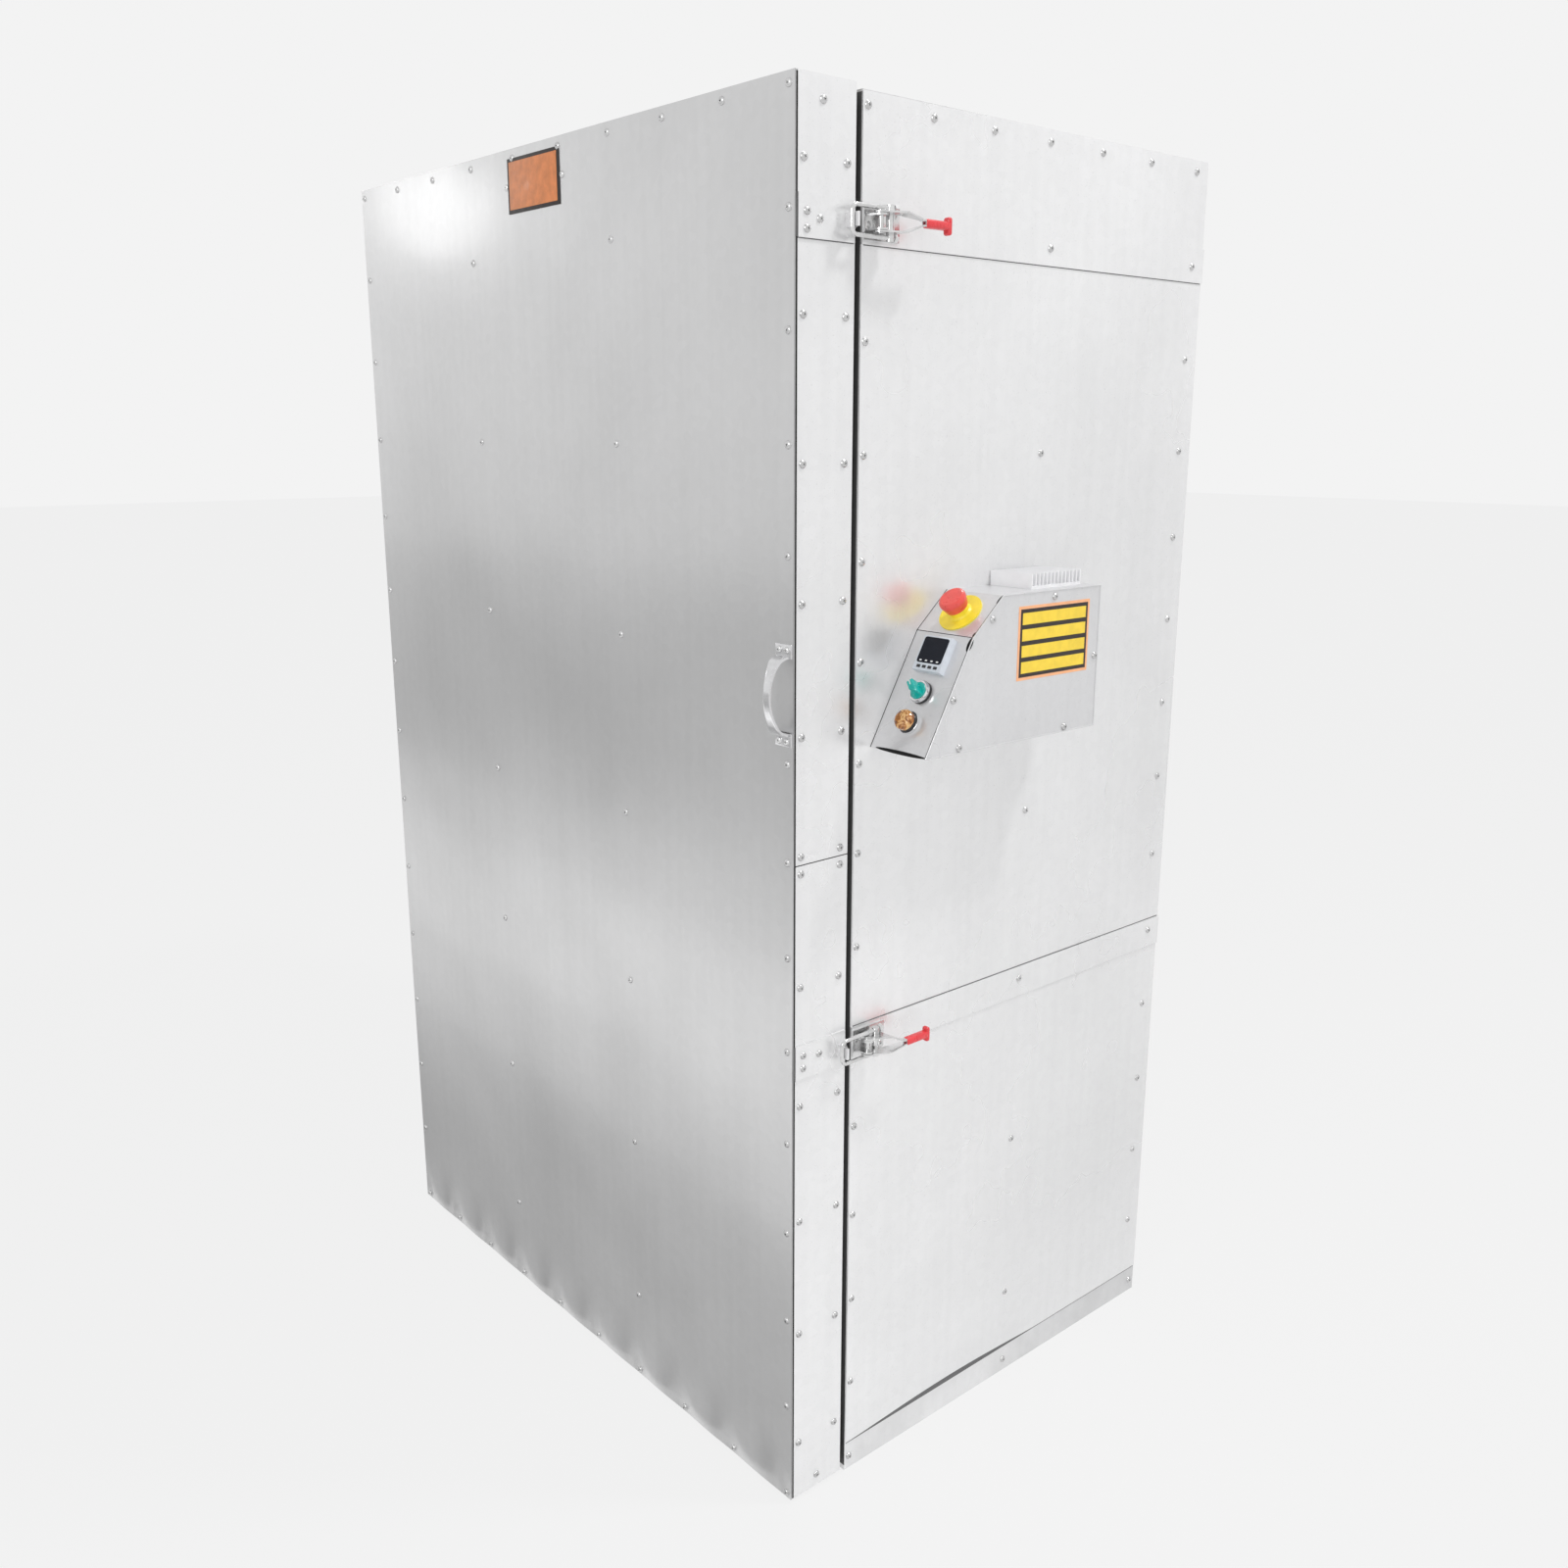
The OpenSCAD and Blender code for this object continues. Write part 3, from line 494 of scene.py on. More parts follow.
def cabinetScrews():
    rows = screwRows
    front, rear, top = oven["front"], oven["rear"], oven["height"]
    between = rows["wallRows"][1:-1]
    highest = rows["wallRows"][-1]
    bm = bmesh.new()
    columns = spread(front + rows["wallFront"], rear - rows["wallRear"], rows["topColumns"])
    for side in (-1, 1):
        spots = [(y, highest) for y in columns]
        spots += [(y, z) for y in (columns[0], columns[-1]) for z in between]
        spots += [(rows["middleY"], z) for z in between[::2]]
        for y, z in spots:
            hinged = side < 0 and y == columns[0] and nearAny(z, oven["hinges"], rows["hingeReach"])
            beside = rows["boxFront"] < y < rows["boxRear"]
            boxed = side > 0 and beside and rows["boxLow"] < z < rows["boxHigh"]
            strapped = side > 0 and nearAny(z, oven["latches"].values(), oven["strapHalf"])
            if not hinged and not boxed:
                addScrews(bm, [onSide(side, y, z, rows["onStrap" if strapped else "onSheet"])])
        trimY = (columns[0], 0, rear - rows["trimRear"])
        addScrews(bm, [onSide(side, y, rows["trimZ"], rows["onTrim"]) for y in trimY])
    far = rows["rearX"]
    columns = spread(-far, far, rows["rearColumns"])
    spots = [(x, highest) for x in columns] + [(x, z) for x in (-far, far) for z in between]
    spots += [(x, z) for x in rows["innerX"] for z in rows["innerZ"]]
    addScrews(bm, [onRear(rear - oven["recess"] + 0.4, x, z) for x, z in spots])
    addScrews(bm, [onRear(rear - 3, x, rows["trimZ"]) for x in columns[::3]])
    far = rows["roofX"]
    lines = spread(front + rows["roofFront"], rear - rows["roofRear"], rows["roofRows"])
    spots = [(x, y) for x in spread(-far, far, rows["roofColumns"]) for y in (lines[0], lines[-1])]
    spots += [(x, y) for x in (-far, far) for y in lines[1:-1]]
    spots += [(x, rows["roofInner"][1]) for x in (-rows["roofInner"][0], rows["roofInner"][0])]
    addScrews(bm, [seat((x, y, top), up, (0, 1, 0)) for x, y in spots])
    far = rows["frameX"]
    spots = [(x, z) for x in (-far, far) for z in spread(*rows["frameZ"], rows["frameRows"])]
    far = rows["frameTopX"]
    spots += [(x, z) for x in spread(-far, far, rows["frameColumns"]) for z in rows["frameEnds"]]
    addScrews(bm, [onFront(front, x, z) for x, z in spots], rows["small"])
    return addPiece("cabinetScrews", bm, screwZinc, "cabinet")


doorScrews()
cabinetScrews()
print("screws placed:", screwCount)

# Outer sheets: thin skins that bulge a little between their screws
sheets = {"proud": 0.35, "thick": 0.25, "swell": 0.9, "bow": 2.6, "bowHeight": 70, "bowPeak": 0.62,
          "lift": 10.5, "ripple": 0.9, "rippleStart": 538.5, "ripplePitch": 119.7, "rippleHeight": 34,
          "doorWide": 1101, "doorTall": 1863, "wallWide": 701, "rearWide": 915, "roofWide": 1099}


def addSheet(name, at, width, height, steps, material, body, shape):
    bm = bmesh.new()
    bmesh.ops.create_grid(bm, x_segments=steps[0], y_segments=steps[1], size=0.5,
                          matrix=Matrix.Diagonal((width, height, 1, 1)))
    for vert in bm.verts:
        u, v = vert.co.x, vert.co.y
        lift, rise = shape(u, v)
        vert.co = Vector((u, v + rise, sheets["proud"] + lift))
    bmesh.ops.transform(bm, matrix=at, verts=bm.verts)
    bmesh.ops.solidify(bm, geom=bm.faces[:] + bm.edges[:] + bm.verts[:], thickness=sheets["thick"])
    return addPiece(name, bm, material, body, 50)


def swelling(u, v, seed):
    bulge = noise.noise(Vector((u / 210, v / 320, seed)))
    return sheets["swell"] * (0.5 + 0.5 * bulge)


def doorSkinShape(u, v):
    low = v + sheets["doorTall"] / 2  # height above the door's lower edge
    wave = 0.5 - 0.5 * math.cos(2 * math.pi * (u + sheets["rippleStart"]) / sheets["ripplePitch"])
    fade = math.exp(-low / sheets["rippleHeight"])
    rough = 0.5 + 0.5 * noise.noise(Vector((u / 90, 3.1, 0)))
    return swelling(u, v, 1.7) + sheets["ripple"] * wave * fade * (0.6 + rough), 0


def wallSkinShape(u, v):
    low = v + (oven["height"] - oven["trimTop"]) / 2  # height above the trim
    along = u / sheets["wallWide"] + 0.5  # 0 at the front, 1 at the rear
    belly = max(0.0, math.sin(math.pi * min(1.0, along / sheets["bowPeak"]))) ** 1.3
    fade = math.exp(-low / sheets["bowHeight"])
    out = swelling(u, v, 4.2) * min(1, max(0, low) / 60) + sheets["bow"] * belly * fade
    return out, (1.4 + sheets["lift"] * belly) * max(0, 1 - low / 20)


def plainShape(seed):
    return lambda u, v: (swelling(u, v, seed), 0)


def outerSheets():
    top, wide = oven["height"], sheets["wallWide"]
    middle, tall = (oven["trimTop"] + top) / 2, top - oven["trimTop"]
    doorMiddle = (oven["doorLow"] + oven["doorHigh"]) / 2
    addSheet("doorSkin", onFront(oven["doorFront"], 0, doorMiddle), sheets["doorWide"], sheets["doorTall"],
             (96, 150), shadedDoorZinc, "door", doorSkinShape)
    right, left = onSide(1, 0, middle), onSide(-1, 0, middle)
    rear, roof = onRear(oven["rear"] - oven["recess"], 0, middle), seat((0, 0, top), up, (0, 1, 0))
    for name, at, width, height, steps, shape in (
            ("rightSkin", right, wide, tall, (60, 150), wallSkinShape),
            ("leftSkin", left, wide, tall, (30, 60), plainShape(8.8)),
            ("rearSkin", rear, sheets["rearWide"], tall, (44, 60), plainShape(12.4)),
            ("roofSkin", roof, sheets["roofWide"], wide, (44, 30), plainShape(15.9))):
        addSheet(name, at, width, height, steps, wallZinc, "cabinet", shape)


outerSheets()
print("outer sheets made")

# Painted shade in the seams on the door's sides: dark strips in the corner gaps and along the joint halfway
# up
seams = {"start": 1.4, "edge": 2.0, "inset": 4, "low": 8, "high": 1867, "height": 946, "half": 0.5}


def doorSeamShade():
    bm = bmesh.new()
    s, r, f = seams, oven["right"], oven["doorFront"]
    for side in (-1, 1):
        addBlock(bm, (side * r - 0.6, f + s["start"], s["low"]),
                 (side * r + 0.5, f + s["start"] + s["edge"], s["high"]))
        addBlock(bm, (side * r - 0.4, f + s["inset"], s["height"] - s["half"]),
                 (side * r + 0.25, oven["doorBack"], s["height"] + s["half"]))
    return addPiece("doorSeamShade", bm, shadeBlack, "door")


# Painted shade in the crack between the right wall's sheet and the trim below it: a grey strip where the
# lifted sheet's shadow falls
crack = {"frontInset": 2, "rearInset": 3, "tall": 14, "half": 0.2}


def footCrackShade():
    bm = bmesh.new()
    r, low = oven["right"], oven["trimTop"]
    addBlock(bm, (r - crack["half"], oven["front"] + crack["frontInset"], low),
             (r + crack["half"], oven["rear"] - crack["rearInset"], low + crack["tall"]))
    return addPiece("footCrackShade", bm, shadeGrey, "cabinet")


# Painted shade on the sides of the gap between door and cabinet: dark strips where the gap's shadow falls
gap = {"inner": 537, "outer": 550.3, "low": 8, "topInset": 2, "topBand": 15, "thick": 0.15}


def gapSides():
    g = gap
    high = oven["height"] - g["topInset"]
    for name, body, shade, near, far in (
            ("gapDoorShade", "door", shadeBlack, oven["doorBack"], oven["doorBack"] + g["thick"]),
            ("gapFrameShade", "cabinet", frameGapShade, oven["front"] - g["thick"], oven["front"])):
        bm = bmesh.new()
        for side in (-1, 1):
            left, right = sorted((side * g["inner"], side * g["outer"]))
            addBlock(bm, (left, near, g["low"]), (right, far, high))
        addBlock(bm, (-g["inner"], near, oven["height"] - g["topBand"]), (g["inner"], far, high))
        addPiece(name, bm, shade, body)


doorSeamShade()
footCrackShade()
gapSides()


# Control box: its cover with hem and screws, painted shade lines in its folds, and what its faces carry
boxAt = {"y": -322.5, "z": 1083, "out": 99, "rise": 194, "length": 337, "run": 82, "steep": 145, "slope": 55,
         "middle": 51.5, "controller": 134.6, "selector": 83.6, "lamp": 41.6, "cover": 1.5, "hem": 1.1,
         "screws": ((48, 69), (117.5, 165), (240, 185.5), (331, 98), (61, 6), (272, 6)),
         "rearX": (14, 85), "rearZ": (18, 176)}
steepAngle = math.atan2(boxAt["steep"], boxAt["run"])
steepLength = math.hypot(boxAt["run"], boxAt["steep"])
slopeAngle = math.atan2(boxAt["rise"] - boxAt["steep"], boxAt["slope"])
slopeLength = math.hypot(boxAt["rise"] - boxAt["steep"], boxAt["slope"])


def onTilted(angle, y, z, s, x, lift):
    base = Vector((oven["right"] + boxAt["middle"] + x, boxAt["y"] + y, boxAt["z"] + z))
    along = Vector((0, math.cos(angle), math.sin(angle)))
    out = Vector((0, -math.sin(angle), math.cos(angle)))
    return seat(base + along * s + out * lift, out, along)


def onSteep(s, x=0.0, lift=0.0):
    return onTilted(steepAngle, 0, 0, s, x, lift)


def onSlope(s, x=0.0, lift=0.0):
    return onTilted(slopeAngle, boxAt["run"], boxAt["steep"], s, x, lift)


def coverDetails():
    b = boxAt
    bm = bmesh.new()
    outer = oven["right"] + b["out"]
    corners = [(0, 0), (b["run"], b["steep"]), (b["run"] + b["slope"], b["rise"]), (b["length"], b["rise"]),
               (b["length"], 0)]
    points = [Vector((outer + 0.2, b["y"] + y, b["z"] + z)) for y, z in corners]
    for start, end in zip(points, points[1:] + points[:1]):  # folded hem round the cover
        addRod(bm, start, end, b["hem"], 8)
    for point in points:
        bmesh.ops.create_uvsphere(bm, u_segments=8, v_segments=6, radius=b["hem"],
                                  matrix=Matrix.Translation(point))
    addPiece("coverHem", bm, boxZinc, "cabinet")
    bm = bmesh.new()
    outline = bm.faces.new([bm.verts.new((outer - b["cover"], b["y"] + y, b["z"] + z)) for y, z in corners])
    grown = bmesh.ops.extrude_face_region(bm, geom=[outline])["geom"]
    moved = [v for v in grown if isinstance(v, bmesh.types.BMVert)]
    bmesh.ops.translate(bm, vec=(b["cover"], 0, 0), verts=moved)
    cover = addPiece("coverSheet", bm, boxZinc, "cabinet")
    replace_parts(cover, "control_cover")
    bm = bmesh.new()
    addScrews(bm, [onSide(1, b["y"] + y, b["z"] + z, b["out"] + 0.3) for y, z in b["screws"]], 0.95)
    rearY = b["y"] + b["length"]
    spots = [(x, z) for x in b["rearX"] for z in b["rearZ"]]
    addScrews(bm, [onRear(rearY, oven["right"] + x, b["z"] + z) for x, z in spots], screwRows["small"])
    addPiece("coverScrews", bm, screwZinc, "cabinet")


# Painted shade in the open folds of the box: thin dark lines, and wider dark patches where the sheets part
folds = {"crease": 0.45, "wallSide": 0.7, "coverSide": 0.4, "mouth": (2.6, 0.6), "mouthInset": 5,
         "gaps": ((onSteep, steepLength - 19, steepLength - 1, 4.4), (onSlope, 1, 9, 2.8),
                  (onSlope, slopeLength - 15, slopeLength - 1, 2.4))}


def boxShadeLines():
    b = boxAt
    bm = bmesh.new()
    inner, outer = -b["middle"] + 0.6, b["out"] - b["middle"] - 1.6

    def line(face, start, end, radius):
        addRod(bm, face(*start).translation, face(*end).translation, radius, 8)

    line(onSteep, (steepLength, inner), (steepLength, outer), folds["crease"])
    for face, high in ((onSteep, steepLength), (onSlope, slopeLength)):
        line(face, (0, inner), (high, inner), folds["wallSide"])
        line(face, (0, outer), (high, outer), folds["coverSide"])
    for face, low, high, wide in folds["gaps"]:
        at = face((low + high) / 2, outer + 0.2)
        shape = Matrix.Diagonal((wide, (high - low) / 1.8, 0.5, 1))
        bmesh.ops.create_uvsphere(bm, u_segments=16, v_segments=8, radius=1, matrix=at @ shape)
    shape = Matrix.Diagonal((b["out"] / 2 - folds["mouthInset"], *folds["mouth"], 1))
    bmesh.ops.create_uvsphere(bm, u_segments=32, v_segments=8, radius=1, matrix=onSteep(1.2, 3) @ shape)
    return addPiece("boxShadeLines", bm, shadeBlack, "cabinet")


# Plain striped label on the cover
labelAt = {"along": 241.5, "rise": 128.5, "width": 147, "height": 97.5, "bars": 4, "rim": 4, "barInset": 8,
           "end": 6, "space": 3}


def plainLabel():
    a = labelAt
    at = onSide(1, boxAt["y"] + a["along"], boxAt["z"] + a["rise"], boxAt["out"])
    w, h, rim, inset = a["width"] / 2, a["height"] / 2, a["rim"], a["barInset"]
    step = (2 * h - 2 * a["end"]) / a["bars"]
    bm = bmesh.new()
    addBlock(bm, (-w, -h, 0), (w, h, 0.35), at, 0.15, 1, 0)
    addBlock(bm, (-w + rim, -h + rim, 0.3), (w - rim, h - rim, 0.5), at, 0, 1, 1)
    for row in range(a["bars"]):
        low = -h + a["end"] + row * step + a["space"]
        addBlock(bm, (-w + inset, low, 0.45), (w - inset, low + step - 2 * a["space"], 0.6), at, 0, 1, 2)
    return addPiece("plainLabel", bm, [labelEdge, labelDark, labelYellow], "cabinet")


# Face of the temperature controller: dark glass, four keys and four small lights
controller = {"lift": 9, "half": 24, "glassUp": 4, "glass": (42, 35.5, 0.9), "glassRound": 3.5, "keys": 4,
              "keyStart": -14.4, "keyPitch": 9.6, "keyHalf": 3.2, "keyZ": (-20.8, -16.8), "lightHalf": 1.8,
              "lightZ": (-11.6, -9.6)}


def controllerFace():
    c = controller
    at = onSteep(boxAt["controller"], 0, c["lift"])
    bm = bmesh.new()
    addBlock(bm, (-c["half"], -c["half"], -1), (c["half"], c["half"], 1.2), at, 1.0, 2, 0)
    glassAt = at @ Matrix.Translation((0, c["glassUp"], 1.1)) @ Matrix.Diagonal((*c["glass"], 1))
    corners = bmesh.ops.create_cube(bm, size=1, matrix=glassAt)["verts"]
    upright = [e for e in {e for v in corners for e in v.link_edges}
               if abs(e.calc_length() - c["glass"][2]) < 0.01]
    for face in {f for v in corners for f in v.link_faces}:
        face.material_index = 1
    bmesh.ops.bevel(bm, geom=upright, offset=c["glassRound"], affect="EDGES", segments=4, profile=0.5,
                    material=-1)
    for key in range(c["keys"]):
        x = c["keyStart"] + key * c["keyPitch"]
        for half, (low, high), sunk, bevel, index in ((c["keyHalf"], c["keyZ"], 1.0, 0.3, 2),
                                                      (c["lightHalf"], c["lightZ"], 1.4, 0, 3)):
            addBlock(bm, (x - half, low, sunk), (x + half, high, 1.7), at, bevel, 1, index)
    return addPiece("controllerFace", bm, [greyPlastic, darkGlass, blackPlastic, whitePlastic], "cabinet")


# Turned bases under the selector and the lamp, as radius and height
controlBase = [(13.5, 0), (15.3, 0), (15.3, 4.3), (14.6, 4.7), (13.5, 4.7)]


def controlTrims():
    bm = bmesh.new()
    for index, s in enumerate((boxAt["selector"], boxAt["lamp"])):
        addTurned(bm, controlBase, onSteep(s), 32, index)
    return addPiece("controlBases", bm, [blackPlastic, polished], "cabinet")


# Selector: a turned disc with a fin across it
knob = {"turn": 45, "disc": [(0, 1.8), (11.5, 1.8), (11.5, 9.2), (10.9, 10.0), (8.5, 10.2), (0, 10.2)],
        "fin": (4.6, 10.6), "finLow": 9, "finHigh": 23.9, "lean": 9, "leanFrom": 11, "leanOver": 13}


def smoothKnob():
    k = knob
    at = onSteep(boxAt["selector"]) @ Matrix.Rotation(math.radians(k["turn"]), 4, "Z")
    bm = bmesh.new()
    addTurned(bm, k["disc"], at, 40)
    finAt = len(bm.verts)
    half, reach = k["fin"]
    addBlock(bm, (-half, -reach, k["finLow"]), (half, reach, k["finHigh"]), at, 1.1, 3)
    bm.verts.ensure_lookup_table()
    back = at.inverted()
    for vert in bm.verts[finAt:]:  # one end of the fin slopes
        place = back @ vert.co
        if place.y < 0:
            place.y += k["lean"] * max(0, (place.z - k["leanFrom"]) / k["leanOver"])
        vert.co = at @ place
    addBlock(bm, (-0.6, 3, 23.7), (0.6, 9.5, 23.95), at, 0, 1, 1)  # white line on the fin
    piece = addPiece("smoothKnob", bm, [tealPlastic, whitePlastic], "selector")
    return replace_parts(piece, "selector_knob")


coverDetails()
boxShadeLines()
smoothKnob()
plainLabel()
controllerFace()
controlTrims()
print("control box dressed")


# Plain plate on the door, with no words and no marks
doorPlate = {"x": -4.5, "z": 1819, "width": 136, "height": 74, "rim": 5, "screwOut": 74, "proud": 0.6}


def plainPlate():
    p = doorPlate
    y = oven["doorFront"] - p["proud"]
    at = onFront(y, p["x"], p["z"])
    w, h, rim = p["width"] / 2, p["height"] / 2, p["rim"]
    bm = bmesh.new()
    addBlock(bm, (-w, -h, 0), (w, h, 1.6), at, 0.5, 2, 0)
    addBlock(bm, (-w + rim, -h + rim, 1.2), (w - rim, h - rim, 2.2), at, 0.4, 2, 1)
    addPiece("plainPlate", bm, [labelDark, copperTone], "door")
    bm = bmesh.new()
    addScrews(bm, [onFront(y, p["x"] + side * p["screwOut"], p["z"]) for side in (-1, 1)], 0.9)
    addPiece("plateScrews", bm, brightZinc, "door")


plainPlate()

# Handle: a bent strap that is narrow in the middle, its flat feet and their screws
bow = {"x": 534.5, "z": 1164, "half": 50, "seatOut": 4, "cornerR": 18.9, "middleR": 82.65,
       "middleOut": -51.65, "turn": 29.2, "waist": 6, "flare": 6, "thick": 3.5, "footLow": 46.5,
       "footHigh": 64, "footWide": 15, "screwX": 7, "screwZ": 57}


def bowPoint(s):
    b = bow
    turn = math.radians(b["turn"])
    middle = b["middleR"] * turn
    corner = b["cornerR"] * (math.pi / 2 - turn)
    side, far = math.copysign(1, s), abs(s)
    if far < middle:
        angle = far / b["middleR"]
        return b["middleOut"] + b["middleR"] * math.cos(angle), side * b["middleR"] * math.sin(angle)
    if far < middle + corner:
        angle = turn + (far - middle) / b["cornerR"]
        z = b["half"] - b["cornerR"] + b["cornerR"] * math.sin(angle)
        return b["seatOut"] + b["cornerR"] * math.cos(angle), side * z
    return b["seatOut"] - (far - middle - corner), side * b["half"]


def smoothHandle():
    b = bow
    turn = math.radians(b["turn"])
    reach = b["middleR"] * turn + b["cornerR"] * (math.pi / 2 - turn) + b["seatOut"]
    at = onFront(oven["doorFront"], b["x"], b["z"])
    bm = bmesh.new()
    bmesh.ops.create_grid(bm, x_segments=6, y_segments=80, size=0.5)
    for vert in bm.verts:
        out, z = bowPoint(vert.co.y * 2 * reach)
        wide = b["waist"] + b["flare"] * (abs(z) / b["half"]) ** 3
        vert.co = Vector((vert.co.x * 2 * wide, z, out))
    bmesh.ops.recalc_face_normals(bm, faces=bm.faces)
    bmesh.ops.solidify(bm, geom=bm.faces[:] + bm.edges[:] + bm.verts[:], thickness=b["thick"])
    rims = [e for e in bm.edges if e.calc_face_angle(0) > 1.0]
    bmesh.ops.bevel(bm, geom=rims, offset=0.6, affect="EDGES", segments=2, profile=0.5, material=-1)
    bmesh.ops.transform(bm, matrix=at, verts=bm.verts)
    for low, high in ((b["footLow"], b["footHigh"]), (-b["footHigh"], -b["footLow"])):
        addBlock(bm, (-b["footWide"], low, 0), (b["footWide"], high, b["thick"]), at, 0.7, 3)
    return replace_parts(addPiece("smoothHandle", bm, handleSteel, "door"), "door_handle")


def handleScrews():
    b = bow
    bm = bmesh.new()
    signs = [(across, along) for across in (-1, 1) for along in (-1, 1)]
    spots = [(b["x"] + across * b["screwX"], b["z"] + along * b["screwZ"]) for across, along in signs]
    addScrews(bm, [onFront(oven["doorFront"] - b["thick"], x, z) for x, z in spots], 0.85)
    return addPiece("handleScrews", bm, brightZinc, "door")


smoothHandle()
handleScrews()

# Latches: grips, screws, the threads of the loops and painted shade lines beside the straps
latches = {"pivotY": -337.5, "trunnionY": -319.5, "trunnionOut": 17, "legs": 16.5,
           "catchScrews": {"upper": ((16, 5), (36, -2), (16, -14)), "lower": ((16, 9), (44, 4), (16, -9))},
           "baseScrewY": 38, "baseScrewZ": 12, "baseOut": 4.5, "ridges": 12, "ridgePitch": 0.95,
           "ridgeStart": 20, "gripOut": 44, "gripY": 48, "gripHalf": (5.5, 5.2), "gripLong": 42,
           "barY": (37, 44), "barHalf": 10.5}
# One ridge of the thread, as radius and height
threadRidge = [(2.7, -0.45), (3.05, 0), (2.7, 0.45)]


def smoothGrip(level, z):
    p = latches
    at = Matrix.Translation((oven["right"] + p["gripOut"], p["pivotY"] + p["gripY"], z))
    thick, tall = p["gripHalf"]
    bm = bmesh.new()
    addBlock(bm, (-thick, 0, -tall), (thick, p["gripLong"], tall), at, 3.4, 4)
    addBlock(bm, (-thick, p["barY"][0], -p["barHalf"]), (thick, p["barY"][1], p["barHalf"]), at, 3.2, 4)
    grip = addPiece("smoothGrip" + level.capitalize(), bm, redVinyl, level + "_lever")
    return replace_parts(grip, "grip_" + level)


def latchDetails(level, z):
    p, r, label = latches, oven["right"], level.capitalize()
    bm = bmesh.new()
    spots = [(oven["doorFront"] + y, z + dz) for y, dz in p["catchScrews"][level]]
    addScrews(bm, [onSide(1, y, height, oven["strap"]) for y, height in spots], 0.95)
    addPiece("catchScrews" + label, bm, screwZinc, "door")
    bm = bmesh.new()
    spots = [(p["pivotY"] + p["baseScrewY"], z + dz) for dz in (-p["baseScrewZ"], p["baseScrewZ"])]
    addScrews(bm, [onSide(1, y, height, p["baseOut"]) for y, height in spots], screwRows["small"])
    addPiece("baseScrews" + label, bm, screwZinc, "cabinet")
    bm = bmesh.new()
    for side in (-1, 1):
        for ridge in range(p["ridges"]):  # thread ridges on the leg in front of the trunnion
            y = p["trunnionY"] - p["ridgeStart"] + ridge * p["ridgePitch"]
            addTurned(bm, threadRidge, onRear(y, r + p["trunnionOut"], z + side * p["legs"]), 12)
    addPiece("loopThreads" + label, bm, brightZinc, level + "_loop")


# Painted shadow: dark lines under the straps and the catch plates, above the lower strap and down the
# catches' front edges
def strapShadeLines():
    r, s, half, far = oven["right"], oven["strap"], oven["strapHalf"], oven["rear"] - 4
    front, back = oven["doorFront"], oven["doorBack"] - 3
    bm = bmesh.new()
    for level, z in oven["latches"].items():
        edges = (z - half - 0.5, z + half + 0.5) if level == "lower" else (z - half - 0.5,)
        for edge in edges:
            addRod(bm, (r + 1.0, oven["front"] + 4, edge), (r + 1.0, far, edge), 0.55, 6)
    addPiece("strapShadeLines", bm, shadeGrey, "cabinet")
    bm = bmesh.new()
    for z in oven["latches"].values():
        low, high = z - half, z + half
        addRod(bm, (r + 0.9, front + 3, low - 0.5), (r + 0.9, back, low - 0.5), 0.5, 6)
        addRod(bm, (r + s - 0.4, front + 0.3, low + 0.5), (r + s - 0.4, front + 0.3, high - 0.5), 0.5, 6)
    return addPiece("catchShadeLines", bm, shadeGrey, "door")


strapShadeLines()
for level, height in oven["latches"].items():
    smoothGrip(level, height)
for level, height in oven["latches"].items():
    latchDetails(level, height)
print("latches dressed")

# Heating elements: ceramic bushes where they enter the walls, and racks that carry their runs
elements = {"x": 431, "wallX": 457, "low": 213.5, "pitch": 60, "runs": 6, "endY": 193.5, "radius": 5.5,
            "rackY": (-215, 120), "rackWide": 9, "rackPast": 30, "rackThick": (3, 0.2), "hookWide": 7,
            "hookReach": 9, "hookThick": 1.5, "hookTall": 6,
            "bush": [(5.6, 0.2), (17, 0.2), (17, 2.2), (9.5, 2.4), (9.5, 13), (8, 14), (5.6, 14)]}


def elementFittings():
    e = elements
    top = e["low"] + (e["runs"] - 1) * e["pitch"]
    bm = bmesh.new()
    for side in (-1, 1):
        for z in (e["low"], top):
            at = seat((side * e["wallX"], e["endY"], z), (-side, 0, 0), up)
            addTurned(bm, e["bush"], at, 24)
    addPiece("elementBushes", bm, terminalWhite, "cabinet")
    bm = bmesh.new()
    wide, hook, reach = e["rackWide"], e["hookWide"], e["x"] - e["hookReach"]
    for side in (-1, 1):
        plate = sorted((side * (e["wallX"] - e["rackThick"][0]), side * (e["wallX"] - e["rackThick"][1])))
        shelf = sorted((side * reach, side * (e["wallX"] - 1)))
        lip = sorted((side * reach, side * (reach + e["hookThick"])))
        for y in e["rackY"]:
            addBlock(bm, (plate[0], y - wide, e["low"] - e["rackPast"]),
                     (plate[1], y + wide, top + e["rackPast"]), Matrix(), 0.4)
            for run in range(e["runs"]):
                z = e["low"] + run * e["pitch"] - e["radius"] - 0.2
                addBlock(bm, (shelf[0], y - hook, z - e["hookThick"]), (shelf[1], y + hook, z))
                addBlock(bm, (lip[0], y - hook, z - 1), (lip[1], y + hook, z + e["hookTall"]))
    return addPiece("elementRacks", bm, hingeSteel, "cabinet")


elementFittings()

# Floor, world, lamps and camera, with places and widths in metres
studio = {"pale": 0.896, "fill": 0.52, "floorTone": 0.85, "floorGlow": 0.93, "floorSize": 30,
          "lens": 32.53, "sensor": 36, "cameraAt": (1.8357, -1.5796, 1.4795),
          "cameraTurn": (76.03, -0.06, 49.198)}
